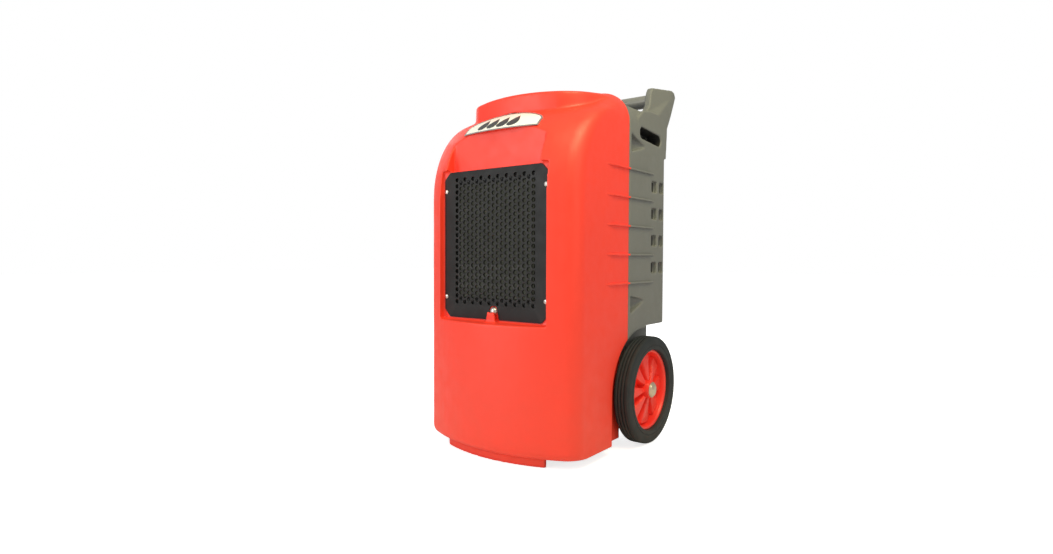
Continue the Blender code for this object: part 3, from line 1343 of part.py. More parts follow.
def make_electrical_box():
    """The tray of capacitors and relays fixed inside the panel, set off the back of the controls."""
    back = PANEL_BACK - 0.028
    low = (-PANEL_HALF + 0.030, back - 0.040, PANEL_BOTTOM + 0.030)
    high = (PANEL_HALF - 0.030, back, PANEL_TOP - 0.030)
    box = boxes("electrical_box", [(low, high)], "galvanised")
    inside = boxes("electrical_inside", [
        ((low[0] + 0.002, low[1] + 0.002, low[2] + 0.002), (high[0] - 0.002, high[1] + 0.01, high[2] - 0.002))
    ])
    cut(box, inside)
    shelf = boxes("shelf", [
        (
            (low[0] + 0.015, low[1] + 0.001, low[2] + 0.020),
            (low[0] + 0.055, high[1] - 0.004, high[2] - 0.020),
        ),
    ])
    join(box, shelf)


def make_outlet_grille():
    """A frame of sloping louvres over the air outlet."""
    half = OUTLET_HALF
    front = RECESS_FLOOR + GAP
    outline = rounded_rectangle(-half, OUTLET_BOTTOM, half, OUTLET_TOP, 0.006, 2)
    grille = prism("outlet_grille", [outline], "y", front, front + 0.012, "black_plastic")
    rim = 0.014
    cut(grille, boxes("outlet_opening", [
        ((-half + rim, front - 0.01, OUTLET_BOTTOM + rim), (half - rim, front + 0.03, OUTLET_TOP - rim))
    ]))
    count = 8
    low, high = OUTLET_BOTTOM + rim, OUTLET_TOP - rim
    slats = []
    for step in range(count):
        z = low + (high - low) * (step + 0.5) / count
        slats.append([
            (front + 0.001, z + 0.004), (front + 0.003, z + 0.005),
            (front + 0.011, z - 0.003), (front + 0.009, z - 0.004),
        ])
    join(grille, prism("slats", slats, "x", -half + rim - 0.003, half - rim + 0.003))


def smooth_round_pieces():
    """Shades the turned pieces smooth, with their hard edges kept."""
    for obj in parts.objects:
        if any(modifier.type == "SCREW" for modifier in obj.modifiers):
            obj.modifiers["turn"].use_smooth_shade = True
        obj.data.shade_smooth()
        obj.data.set_sharp_from_angle(angle=math.radians(35))


def main():
    clear_scene()
    make_materials()
    make_front_casing()
    make_rear_casing()
    make_badge()
    make_handle_bar()
    make_grille()
    make_filter()
    make_fasteners()
    make_wheels()
    make_base()
    make_coil("evaporator_coil", EVAPORATOR_Y, "aluminium")
    make_coil("condenser_coil", CONDENSER_Y, "aluminium")
    make_tray()
    make_fan()
    make_compressor()
    make_pipes()
    make_pump()
    make_control_panel()
    make_electrical_box()
    make_outlet_grille()
    smooth_round_pieces()


main()
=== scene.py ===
import math

import bmesh
import bpy
from mathutils import Matrix, Vector


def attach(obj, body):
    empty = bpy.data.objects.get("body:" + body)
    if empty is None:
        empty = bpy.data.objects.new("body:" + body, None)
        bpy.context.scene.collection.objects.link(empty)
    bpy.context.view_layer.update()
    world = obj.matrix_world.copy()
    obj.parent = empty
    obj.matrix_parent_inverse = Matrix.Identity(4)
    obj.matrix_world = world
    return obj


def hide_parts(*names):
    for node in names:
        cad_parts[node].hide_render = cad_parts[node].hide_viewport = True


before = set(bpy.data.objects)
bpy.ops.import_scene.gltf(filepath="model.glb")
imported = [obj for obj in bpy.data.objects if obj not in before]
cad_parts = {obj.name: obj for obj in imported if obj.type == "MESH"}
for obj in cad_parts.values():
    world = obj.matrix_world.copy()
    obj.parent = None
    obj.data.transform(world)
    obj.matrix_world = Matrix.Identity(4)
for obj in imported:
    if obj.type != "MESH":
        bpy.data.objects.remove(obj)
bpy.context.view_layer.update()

print("frame loaded:", len(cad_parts), "solids")


# in front and to the right of the machine, a little above half its height
cameraSetup = {
    "place": (1.0394, -1.5037, 0.5201),
    "turn": 0.6440,
    "tilt": 0.0308,
    "roll": 0.0034,
    "lens": 21.243,
    "sensor": 36.0,
}


def makeCamera():
    c = cameraSetup
    right = Vector((math.cos(c["turn"]), math.sin(c["turn"]), 0))
    ahead = Vector((-math.sin(c["turn"]), math.cos(c["turn"]), 0))
    up = Vector((0, 0, 1))
    look = ahead * math.cos(c["tilt"]) - up * math.sin(c["tilt"])
    top = up * math.cos(c["tilt"]) + ahead * math.sin(c["tilt"])
    sideways = right * math.cos(c["roll"]) + top * math.sin(c["roll"])
    upright = top * math.cos(c["roll"]) - right * math.sin(c["roll"])
    data = bpy.data.cameras.new("camera")
    data.sensor_width = c["sensor"]
    data.sensor_fit = "HORIZONTAL"
    data.lens = c["lens"]
    camera = bpy.data.objects.new("camera", data)
    bpy.context.scene.collection.objects.link(camera)
    turn = Matrix((sideways, upright, -look)).transposed().to_4x4()
    camera.matrix_world = Matrix.Translation(c["place"]) @ turn
    bpy.context.scene.camera = camera


makeCamera()


axisTurns = {
    "x": Matrix(((0, 0, 1), (1, 0, 0), (0, 1, 0))).to_4x4(),
    "y": Matrix(((1, 0, 0), (0, 0, 1), (0, 1, 0))).to_4x4(),
    "z": Matrix.Identity(4),
}


def place(name, mesh):
    piece = bpy.data.objects.new(name, mesh)
    bpy.context.scene.collection.objects.link(piece)
    return piece


def fromBmesh(name, bm):
    bmesh.ops.recalc_face_normals(bm, faces=bm.faces)
    mesh = bpy.data.meshes.new(name)
    bm.to_mesh(mesh)
    bm.free()
    return place(name, mesh)


def band(bm, here, after):
    # quads between two closed rings of the same count
    for i in range(len(here)):
        j = (i + 1) % len(here)
        bm.faces.new((here[i], here[j], after[j], after[i]))


def settle(piece):
    # leaves what the modifiers make as the piece's own mesh
    graph = bpy.context.evaluated_depsgraph_get()
    old = piece.data
    made = bpy.data.meshes.new_from_object(piece.evaluated_get(graph))
    piece.modifiers.clear()
    piece.data = made
    made.name = piece.name
    bpy.data.meshes.remove(old)
    return piece


def combine(piece, how, *tools):
    for tool in tools:
        step = piece.modifiers.new(tool.name, "BOOLEAN")
        step.operation = how
        step.object = tool
    settle(piece)
    for tool in tools:
        bpy.data.objects.remove(tool)
    return piece


def cut(piece, *tools):
    return combine(piece, "DIFFERENCE", *tools)


def join(piece, *tools):
    return combine(piece, "UNION", *tools)


def boxes(name, spans):
    bm = bmesh.new()
    for low, high in spans:
        size, middle = Vector(high) - Vector(low), (Vector(high) + Vector(low)) / 2
        spread = Matrix.Diagonal((*size, 1.0))
        bmesh.ops.create_cube(bm, size=1.0, matrix=Matrix.Translation(middle) @ spread)
    return fromBmesh(name, bm)


def middleBox(half, front, back, low, high):
    # a box centred on the machine's middle plane
    return (-half, front, low), (half, back, high)


def prism(name, outlines, axis, start, end):
    # outline points are (y, z) for x, (x, z) for y and (x, y) for z
    bm = bmesh.new()
    turn = axisTurns[axis]
    for outline in outlines:
        rings = []
        for level in (start, end):
            rings.append([bm.verts.new(turn @ Vector((a, b, level))) for a, b in outline])
        bm.faces.new(rings[0])
        bm.faces.new(rings[1])
        band(bm, *rings)
    return fromBmesh(name, bm)


def rods(name, axis, centres, radius, length, sides=48):
    bm = bmesh.new()
    for centre in centres:
        turn = Matrix.Translation(centre) @ axisTurns[axis]
        bmesh.ops.create_cone(
            bm, cap_ends=True, segments=sides, radius1=radius, radius2=radius, depth=length, matrix=turn
        )
    return fromBmesh(name, bm)


def lathe(name, axis, centre, profile, steps=96, closed=False):
    # profile is (radius, place along the axis); an open one starts and ends on the axis
    turn = Matrix.Translation(centre) @ axisTurns[axis]
    if axis == "-x":
        turn = Matrix.Translation(centre) @ Matrix.Scale(-1, 4, (1, 0, 0)) @ axisTurns["x"]
    bm = bmesh.new()
    rings = []
    for radius, along in profile:
        if radius < 1e-7:
            rings.append([bm.verts.new(turn @ Vector((0, 0, along)))])
            continue
        angles = [2 * math.pi * i / steps for i in range(steps)]
        rings.append([bm.verts.new(turn @ Vector((radius * math.cos(a), radius * math.sin(a), along)))
            for a in angles])
    pairs = list(zip(rings, rings[1:])) + ([(rings[-1], rings[0])] if closed else [])
    for first, second in pairs:
        for i in range(steps):
            j = (i + 1) % steps
            ring = [first[i % len(first)], first[j % len(first)], second[j % len(second)],
                second[i % len(second)]]
            bm.faces.new(list(dict.fromkeys(ring)))
    return fromBmesh(name, bm)


axisTurns["-x"] = Matrix.Scale(-1, 4, (1, 0, 0)) @ axisTurns["x"]


def arc(a, b, radius, first, last, count):
    turns = [math.radians(first + (last - first) * i / count) for i in range(count + 1)]
    return [(a + radius * math.cos(t), b + radius * math.sin(t)) for t in turns]


def smoothStep(t):
    t = min(max(t, 0.0), 1.0)
    return t * t * (3 - 2 * t)


def roundedRectangle(lowA, lowB, highA, highB, radius, count=6):
    corners = (
        (highA - radius, lowB + radius, -90),
        (highA - radius, highB - radius, 0),
        (lowA + radius, highB - radius, 90),
        (lowA + radius, lowB + radius, 180),
    )
    return [point for a, b, first in corners for point in arc(a, b, radius, first, first + 90, count)]


def chamfer(piece, width, segments=3, angle=35):
    bevel = piece.modifiers.new("edges", "BEVEL")
    bevel.width = width
    bevel.segments = segments
    bevel.limit_method = "ANGLE"
    bevel.angle_limit = math.radians(angle)
    bevel.harden_normals = False
    return piece


def shade(piece, angle=40):
    piece.data.shade_smooth()
    piece.data.set_sharp_from_angle(angle=math.radians(angle))
    return piece


def mould(piece, rounds):
    # one skin over the joined solids, its edges rounded as in a rotational moulding
    skin = piece.modifiers.new("skin", "REMESH")
    skin.mode = "VOXEL"
    skin.voxel_size = shell["voxel"]
    relax = piece.modifiers.new("relax", "SMOOTH")
    relax.factor = 0.5
    relax.iterations = rounds
    settle(piece)
    return piece


def thinOut(piece):
    fewer = piece.modifiers.new("fewer", "DECIMATE")
    fewer.ratio = shell["keep"]
    settle(piece)
    piece.data.shade_smooth()
    even = piece.modifiers.new("even", "WEIGHTED_NORMAL")
    even.mode = "FACE_AREA"
    even.weight = 60
    return piece


def dress(piece, material):
    piece.data.materials.clear()
    piece.data.materials.append(material)
    return piece


def fit(piece, body, material, slot, *nodes):
    # puts a finished piece on the machine, in the place of the solids that it stands for
    dress(piece, material)
    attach(piece, body)
    if nodes:
        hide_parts(*nodes)
    return piece


def node(tree, kind, x, y, **values):
    made = tree.nodes.new(kind)
    made.location = (x, y)
    for key, value in values.items():
        if key.startswith("in_"):
            made.inputs[key[3:].replace("_", " ")].default_value = value
        else:
            setattr(made, key, value)
    return made


def surface(name, look):
    # one finish: mottled colour, uneven sheen, skin texture, and paler or darker edges
    made = bpy.data.materials.new(name)
    made.use_nodes = True
    tree = made.node_tree
    shader = tree.nodes["Principled BSDF"]
    red, green, blue = look["colour"]
    made.diffuse_color = (red, green, blue, 1)
    shader.inputs["Metallic"].default_value = look.get("metal", 0.0)
    shader.inputs["Specular IOR Level"].default_value = look.get("specular", 0.5)
    shader.inputs["Coat Weight"].default_value = look.get("coat", 0.0)
    shader.inputs["Coat Roughness"].default_value = look.get("coatRough", 0.2)
    where = node(tree, "ShaderNodeTexCoord", -1400, 0)
    spot = where.outputs["Object"]
    stretch = look.get("stretch")
    if stretch:
        scaled = node(tree, "ShaderNodeMapping", -1200, -200)
        scaled.inputs["Scale"].default_value = stretch
        tree.links.new(spot, scaled.inputs["Vector"])
        fineSpot = scaled.outputs["Vector"]
    else:
        fineSpot = spot
    mottle = node(tree, "ShaderNodeTexNoise", -1000, 300, in_Scale=look.get("mottleScale", 9.0),
        in_Detail=5.0)
    tree.links.new(spot, mottle.inputs["Vector"])
    spread = look.get("mottle", 0.06)
    pale = [min(1, c * (1 + spread) + spread * 0.01) for c in look["colour"]]
    deep = [c * (1 - spread) for c in look["colour"]]
    tone = node(tree, "ShaderNodeMix", -500, 300, data_type="RGBA")
    tone.inputs["A"].default_value = (*deep, 1)
    tone.inputs["B"].default_value = (*pale, 1)
    tree.links.new(mottle.outputs["Fac"], tone.inputs["Factor"])
    colour = tone.outputs["Result"]
    lowDustAndDarkening = look.get("lowDustAndDarkening")
    if lowDustAndDarkening:  # pale dust low down and in patches on the tyres and the black enamel; on the casings and the badge a darker tone towards the bottom, in patches
        apart = node(tree, "ShaderNodeSeparateXYZ", -1000, 600)
        tree.links.new(spot, apart.inputs["Vector"])
        low = node(tree, "ShaderNodeMapRange", -800, 600, in_From_Min=lowDustAndDarkening["to"],
            in_From_Max=lowDustAndDarkening["from"])
        tree.links.new(apart.outputs["Z"], low.inputs["Value"])
        patch = node(tree, "ShaderNodeTexNoise", -1000, 800, in_Scale=22.0, in_Detail=6.0,
            in_Roughness=0.65)
        tree.links.new(spot, patch.inputs["Vector"])
        both = node(tree, "ShaderNodeMath", -600, 600, operation="MULTIPLY")
        tree.links.new(low.outputs["Result"], both.inputs[0])
        tree.links.new(patch.outputs["Fac"], both.inputs[1])
        share = node(tree, "ShaderNodeMath", -450, 600, operation="MULTIPLY")
        share.inputs[1].default_value = lowDustAndDarkening["amount"]
        tree.links.new(both.outputs["Value"], share.inputs[0])
        lowTinted = node(tree, "ShaderNodeMix", -300, 400, data_type="RGBA")
        lowTinted.inputs["B"].default_value = (*lowDustAndDarkening["colour"], 1)
        tree.links.new(share.outputs["Value"], lowTinted.inputs["Factor"])
        tree.links.new(colour, lowTinted.inputs["A"])
        colour = lowTinted.outputs["Result"]
    edge = look.get("edge")
    if edge:  # paler convex edges: rubbed wear on most finishes, a painted highlight on the hub's petal ridges
        form = node(tree, "ShaderNodeNewGeometry", -1000, 1000)
        ramp = node(tree, "ShaderNodeMapRange", -800, 1000, in_From_Min=0.505, in_From_Max=0.58)
        ramp.inputs["To Max"].default_value = edge["amount"]
        tree.links.new(form.outputs["Pointiness"], ramp.inputs["Value"])
        edgeBreakup = node(tree, "ShaderNodeTexNoise", -1000, 1200, in_Scale=60.0, in_Detail=4.0)
        tree.links.new(spot, edgeBreakup.inputs["Vector"])
        broken = node(tree, "ShaderNodeMath", -600, 1000, operation="MULTIPLY")
        tree.links.new(ramp.outputs["Result"], broken.inputs[0])
        tree.links.new(edgeBreakup.outputs["Fac"], broken.inputs[1])
        wearAndHighlight = node(tree, "ShaderNodeMix", -150, 400, data_type="RGBA")
        wearAndHighlight.inputs["B"].default_value = (*edge["colour"], 1)
        tree.links.new(broken.outputs["Value"], wearAndHighlight.inputs["Factor"])
        tree.links.new(colour, wearAndHighlight.inputs["A"])
        colour = wearAndHighlight.outputs["Result"]
    tree.links.new(colour, shader.inputs["Base Color"])
    uneven = node(tree, "ShaderNodeTexNoise", -1000, 0, in_Scale=look.get("sheenScale", 30.0),
        in_Detail=6.0)
    tree.links.new(fineSpot, uneven.inputs["Vector"])
    rough = look["rough"]
    give = look.get("roughSpread", 0.08)
    gloss = node(tree, "ShaderNodeMapRange", -500, 0, in_From_Min=0.3, in_From_Max=0.7)
    gloss.inputs["To Min"].default_value = max(0.02, rough - give)
    gloss.inputs["To Max"].default_value = min(1.0, rough + give)
    tree.links.new(uneven.outputs["Fac"], gloss.inputs["Value"])
    tree.links.new(gloss.outputs["Result"], shader.inputs["Roughness"])
    if look.get("grain", "noise") == "cells":
        fine = node(tree, "ShaderNodeTexVoronoi", -1000, -300, in_Scale=look["grainScale"])
        height = fine.outputs["Distance"]
    else:
        fine = node(tree, "ShaderNodeTexNoise", -1000, -300, in_Scale=look["grainScale"], in_Detail=3.0)
        height = fine.outputs["Fac"]
    tree.links.new(fineSpot, fine.inputs["Vector"])
    skin = node(tree, "ShaderNodeBump", -300, -300, in_Strength=look.get("bump", 0.3))
    skin.inputs["Distance"].default_value = look.get("bumpDepth", 0.0004)
    tree.links.new(height, skin.inputs["Height"])
    wave = node(tree, "ShaderNodeTexNoise", -1000, -600, in_Scale=look.get("waveScale", 14.0),
        in_Detail=2.0)
    tree.links.new(spot, wave.inputs["Vector"])
    slow = node(tree, "ShaderNodeBump", -500, -600, in_Strength=look.get("wave", 0.15))
    slow.inputs["Distance"].default_value = 0.002
    tree.links.new(wave.outputs["Fac"], slow.inputs["Height"])
    tree.links.new(slow.outputs["Normal"], skin.inputs["Normal"])
    tree.links.new(skin.outputs["Normal"], shader.inputs["Normal"])
    return made


finishes = {
    "redCasing": {
        "colour": (0.93, 0.050, 0.024), "rough": 0.44, "mottle": 0.035, "mottleScale": 5.0,
        "grainScale": 420.0, "bump": 0.10, "bumpDepth": 0.0004, "wave": 0.10, "waveScale": 10.0,
        "specular": 0.45,
        "edge": {"amount": 0.30, "colour": (0.95, 0.12, 0.07)},
        "lowDustAndDarkening": {"from": 0.0, "to": 0.35, "amount": 0.28, "colour": (0.42, 0.085, 0.05)},
    },
    "greyCasing": {
        "colour": (0.168, 0.174, 0.172), "rough": 0.55, "mottle": 0.07, "mottleScale": 8.0,
        "grain": "cells", "grainScale": 700.0, "bump": 0.16, "bumpDepth": 0.0003, "wave": 0.10,
        "waveScale": 10.0, "specular": 0.4,
        "edge": {"amount": 0.5, "colour": (0.30, 0.30, 0.28)},
        "lowDustAndDarkening": {"from": 0.0, "to": 0.5, "amount": 0.35, "colour": (0.10, 0.09, 0.075)},
    },
    "coatedSteel": {
        "colour": (0.0045, 0.0045, 0.0050), "rough": 0.52, "mottle": 0.10, "grainScale": 1500.0,
        "bump": 0.22, "bumpDepth": 0.0002, "wave": 0.05, "specular": 0.30,
        "edge": {"amount": 0.5, "colour": (0.09, 0.09, 0.09)},
    },
    "filterFoam": {
        "colour": (0.060, 0.063, 0.050), "rough": 0.95, "mottle": 0.40, "mottleScale": 60.0,
        "grain": "cells", "grainScale": 420.0, "bump": 0.9, "bumpDepth": 0.0015, "wave": 0.3,
        "waveScale": 60.0, "specular": 0.2,
    },
    "zinc": {
        "colour": (0.62, 0.61, 0.58), "rough": 0.33, "metal": 0.9, "mottle": 0.10, "mottleScale": 120.0,
        "grainScale": 1800.0, "bump": 0.08, "bumpDepth": 0.0001, "roughSpread": 0.12, "sheenScale": 200.0,
    },
    "badgeWhite": {
        "colour": (0.93, 0.93, 0.90), "rough": 0.34, "mottle": 0.02, "grainScale": 900.0, "bump": 0.03,
        "coat": 0.3, "lowDustAndDarkening": {"from": 0.84, "to": 0.95, "amount": 0.10, "colour": (0.55, 0.53, 0.50)},
    },
    "badgeSilver": {
        "colour": (0.55, 0.55, 0.54), "rough": 0.30, "metal": 0.85, "mottle": 0.05,
        "grainScale": 1600.0, "bump": 0.05,
    },
    "badgeInk": {
        "colour": (0.045, 0.047, 0.052), "rough": 0.38, "mottle": 0.15, "grainScale": 900.0, "bump": 0.05,
    },
    "rubber": {
        "colour": (0.0135, 0.0185, 0.0245), "rough": 0.72, "mottle": 0.22, "mottleScale": 25.0,
        "grainScale": 800.0, "bump": 0.35, "bumpDepth": 0.0004, "specular": 0.35,
        "edge": {"amount": 0.6, "colour": (0.085, 0.08, 0.075)},
        "lowDustAndDarkening": {"from": 0.0, "to": 0.32, "amount": 0.40, "colour": (0.075, 0.066, 0.055)},
    },
    "hubRed": {
        "colour": (0.93, 0.042, 0.026), "rough": 0.42, "mottle": 0.04, "mottleScale": 20.0,
        "grainScale": 500.0, "bump": 0.05, "wave": 0.05, "waveScale": 40.0, "coat": 0.10, "coatRough": 0.15,
        # the hub's paler petal edges are a painted highlight
        "edge": {"amount": 0.4, "colour": (0.85, 0.10, 0.07)},
    },
    "capBeige": {
        "colour": (0.60, 0.50, 0.38), "rough": 0.30, "metal": 0.75, "mottle": 0.08, "mottleScale": 90.0,
        "grainScale": 1400.0, "bump": 0.08, "bumpDepth": 0.0001, "stretch": (1.0, 1.0, 1.0),
    },
    "tubeGrey": {
        "colour": (0.20, 0.205, 0.205), "rough": 0.42, "mottle": 0.08, "mottleScale": 40.0,
        "grainScale": 900.0, "bump": 0.12, "bumpDepth": 0.0002, "coat": 0.15,
    },
    "galvanised": {
        "colour": (0.50, 0.51, 0.52), "rough": 0.40, "metal": 0.85, "mottle": 0.20, "mottleScale": 70.0,
        "grain": "cells", "grainScale": 110.0, "bump": 0.05, "bumpDepth": 0.0002, "roughSpread": 0.15,
    },
    "aluminium": {
        "colour": (0.66, 0.67, 0.68), "rough": 0.33, "metal": 0.9, "mottle": 0.10, "grainScale": 60.0,
        "stretch": (14.0, 1.0, 1.0), "bump": 0.9, "bumpDepth": 0.0008,
    },
    "copper": {
        "colour": (0.66, 0.28, 0.15), "rough": 0.28, "metal": 0.95, "mottle": 0.18, "mottleScale": 50.0,
        "grainScale": 900.0, "bump": 0.06, "bumpDepth": 0.0002, "roughSpread": 0.12,
    },
    "blackEnamel": {
        "colour": (0.016, 0.016, 0.018), "rough": 0.32, "mottle": 0.20, "grainScale": 500.0, "bump": 0.10,
        "coat": 0.4, "lowDustAndDarkening": {"from": 0.05, "to": 0.35, "amount": 0.25, "colour": (0.09, 0.085, 0.075)},
    },
    "blackPlastic": {
        "colour": (0.023, 0.023, 0.024), "rough": 0.46, "mottle": 0.12, "grain": "cells",
        "grainScale": 1300.0, "bump": 0.20, "bumpDepth": 0.0002,
        "edge": {"amount": 0.5, "colour": (0.08, 0.08, 0.08)},
    },
    "trayPlastic": {
        "colour": (0.30, 0.31, 0.30), "rough": 0.55, "mottle": 0.08, "grainScale": 700.0, "bump": 0.12,
    },
    "lampGreen": {
        "colour": (0.05, 0.50, 0.12), "rough": 0.16, "mottle": 0.10, "mottleScale": 150.0,
        "grainScale": 1200.0, "bump": 0.05, "coat": 0.6, "coatRough": 0.05,
    },
    "buttonGreen": {
        "colour": (0.03, 0.30, 0.10), "rough": 0.36, "mottle": 0.06, "mottleScale": 80.0,
        "grainScale": 1300.0, "bump": 0.10, "bumpDepth": 0.0002,
        "edge": {"amount": 0.4, "colour": (0.10, 0.45, 0.20)},
    },
    "switchRed": {
        "colour": (0.60, 0.02, 0.02), "rough": 0.30, "mottle": 0.05, "mottleScale": 80.0,
        "grainScale": 1300.0, "bump": 0.08, "bumpDepth": 0.0002, "coat": 0.3,
    },
    "whitePrint": {
        "colour": (0.74, 0.74, 0.71), "rough": 0.45, "mottle": 0.04, "mottleScale": 60.0,
        "grainScale": 1500.0, "bump": 0.08,
    },
}
paint = {name: surface(name, look) for name, look in finishes.items()}
print("finishes mixed:", len(paint))


# both casings share these
shell = {
    "half": 0.2475,  # half the width
    "height": 0.985,  # ground to the crown of the roof
    "apexY": -0.313,
    "seamY": 0.015,
    "backY": 0.250,
    "bow": 0.44,  # radius of the front in plan
    "corner": 0.055,
    "rollDepth": 0.20,
    "rollHeight": 0.235,
    "rollStart": 0.684,
    "roofSlope": 0.393,
    "roofCorner": 0.085,
    "crown": 1.3,
    "skirt": 0.022,
    "tuck": 0.023,
    "frontWall": 0.0045,
    "rearWall": 0.005,
    "voxel": 0.0027,  # finest detail that the moulded skin holds
    "keep": 0.42,  # share of the skin's faces kept where it is flat
}
wheel = {"y": 0.101, "z": 0.150, "radius": 0.150, "arch": 0.170, "wellX": 0.222, "hubX": 0.2545,
    "tyreX": 0.2585}


def roofOutline(inset=0.0, bottom=None, count=24):
    # right half of the section at the seam, bottom to crown
    side = shell["half"] - inset
    crown, corner = shell["crown"] - inset, shell["roofCorner"] - inset
    lean = math.asin((side - corner) / (crown - corner))
    middle = shell["height"] - inset - crown + (crown - corner) * math.cos(lean)
    points = [(side, shell["skirt"] if bottom is None else bottom)]
    points += arc(side - corner, middle, corner, 0, 90 - math.degrees(lean), count)
    for step in range(11, 0, -1):
        turn = lean * step / 12
        points.append((crown * math.sin(turn), shell["height"] - inset - crown + crown * math.cos(turn)))
    return points


def wholeRoof(inset=0.0, bottom=None):
    right = roofOutline(inset, bottom)
    return right + [(0.0, shell["height"] - inset)] + [(-x, z) for x, z in reversed(right)]


sideLine = roofOutline(count=60) + [(0.0, shell["height"])]


def halfWidth(height):
    for (x1, z1), (x2, z2) in zip(sideLine, sideLine[1:]):
        if z1 <= height <= z2:
            return x1 + (x2 - x1) * (height - z1) / (z2 - z1)
    return 0.0


def setBack(height):
    # how far the front's middle line has rolled back at a height
    depth, rise, start = shell["rollDepth"], shell["rollHeight"], shell["rollStart"]
    slope = shell["roofSlope"] * depth / rise
    turn = slope / math.sqrt(1 + slope**2)
    end, endZ = depth * (1 - turn), start + rise * math.sqrt(1 - turn**2)
    if height <= start:
        return 0.0
    if height <= endZ:
        return depth * (1 - math.sqrt(1 - ((height - start) / rise) ** 2))
    share = (height - endZ) / (shell["height"] - endZ)
    return end + share * (shell["seamY"] - shell["apexY"] - end)


def planHalf(half, front, corner, back):
    depth = shell["seamY"] - front
    drop = min(half**2 / (2 * shell["bow"]), 0.4 * depth)
    bow = (half**2 + drop**2) / (2 * drop)
    corner = min(corner, 0.4 * depth, 0.8 * half)
    swing = math.asin((half - corner) / (bow - corner))
    points = [(bow * math.sin(swing * i / 10), front + bow * (1 - math.cos(swing * i / 10)))
        for i in range(10)]
    middleY = front + bow - (bow - corner) * math.cos(swing)
    for step in range(15):
        turn = swing + (math.pi / 2 - swing) * step / 14
        points.append((half - corner + corner * math.sin(turn), middleY - corner * math.cos(turn)))
    return points + [(half, back)]


def frontForm(name, inset=0.0, bottom=None, back=None):
    # horizontal sections of the front casing, from the skirt to the crown
    skirt, tuckDepth, top = shell["skirt"], shell["tuck"], shell["height"]
    bottom = skirt if bottom is None else bottom
    back = shell["seamY"] if back is None else back
    heights = [skirt + tuckDepth * share for share in (0, 0.06, 0.15, 0.3, 0.45, 0.6, 0.8, 1)]
    heights += [0.25, 0.5]
    rollTop = top - 0.08
    heights += [shell["rollStart"] + (rollTop - shell["rollStart"]) * math.sin(math.pi / 2 * i / 26)
        for i in range(27)]
    heights += [top - 0.08 * (1 - share) ** 1.6 for share in [0.06 * i for i in range(1, 17)]]
    scale = (top - inset - skirt) / (top - skirt)
    bm = bmesh.new()
    rings = []
    if bottom < skirt:
        heights.insert(0, None)
    for height in heights:
        level = skirt if height is None else height
        rise = min((level - skirt) / tuckDepth, 1.0)
        tuck = tuckDepth * (1 - math.sqrt(1 - (1 - rise) ** 2))
        half = max(halfWidth(level) - inset, 0.004)
        front = min(shell["apexY"] + setBack(level) + tuck + inset, shell["seamY"] - 0.004)
        section = planHalf(half, front, max(shell["corner"] + tuck - inset, 0.01), back)
        z = bottom if height is None else skirt + (level - skirt) * scale
        across = [(-x, y) for x, y in reversed(section[1:])] + section
        rings.append([bm.verts.new((x, y, z)) for x, y in across])
    crown = bm.verts.new((0.0, back, top - inset))
    for lower, upper in zip(rings, rings[1:]):
        for i in range(len(lower) - 1):
            bm.faces.new((lower[i], lower[i + 1], upper[i + 1], upper[i]))
    for i in range(len(rings[-1]) - 1):
        bm.faces.new((rings[-1][i], rings[-1][i + 1], crown))
    bm.faces.new(rings[0])
    bm.faces.new([ring[-1] for ring in rings] + [crown] + [ring[0] for ring in reversed(rings)])
    return fromBmesh(name, bm)


crest = {"half": 0.172, "setBack": 0.125, "slope": 0.150, "spread": 0.235}


def crestForm(name, inset=0.0, back=None):
    back = shell["seamY"] if back is None else back
    front = shell["apexY"] + crest["setBack"] + inset
    side = crest["half"] - inset
    swing = math.asin(crest["half"] / shell["bow"])
    bow = []
    for step in range(-12, 13):
        turn = swing * step / 12
        bow.append((shell["bow"] * math.sin(turn) * side / crest["half"],
            front + shell["bow"] * (1 - math.cos(turn))))
    spread = crest["spread"] - inset
    rounded = []  # the crest's front corners swing gently into its sides
    end, far = Vector(bow[-1]), Vector((spread, back))
    lead = Vector(bow[-4])
    for step in range(13):
        t = step / 12
        rounded.append(lead * (1 - t) ** 2 + end * 2 * t * (1 - t) + (end + (far - end) * 0.3) * t**2)
    right = [tuple(point) for point in rounded]
    left = [(-x, y) for x, y in reversed(right)]
    bow = left + bow[4:-4] + right
    block = prism(name, [bow + [(spread, back), (-spread, back)]], "z", shell["rollStart"] + 0.13,
        shell["height"] + 0.05)
    outline = wholeRoof(inset, shell["rollStart"] + 0.10)
    bm = bmesh.new()
    rings = []
    for level in (front - 0.02, back + 0.01):
        fall = crest["slope"] * (level - shell["seamY"])
        rings.append([bm.verts.new((x, level, z + fall)) for x, z in outline])
    bm.faces.new(rings[0])
    bm.faces.new(rings[1])
    band(bm, *rings)
    return combine(block, "INTERSECT", fromBmesh(name + "Roof", bm))


def archTools(name, extra=0.0):
    outline = arc(wheel["y"], wheel["z"], wheel["arch"] + extra, 0, 180, 64)
    outline += [(wheel["y"] - wheel["arch"] - extra, -0.05), (wheel["y"] + wheel["arch"] + extra, -0.05)]
    inner = wheel["wellX"] - extra
    return (
        prism(name + "Right", [outline], "x", inner, shell["half"] + 0.05),
        prism(name + "Left", [outline], "x", -shell["half"] - 0.05, -inner),
    )


ribs = {"count": 5, "top": 0.763, "bottom": 0.452, "first": -0.106, "last": 0.168, "proud": 0.005,
    "thick": 0.0055, "taper": 0.03}


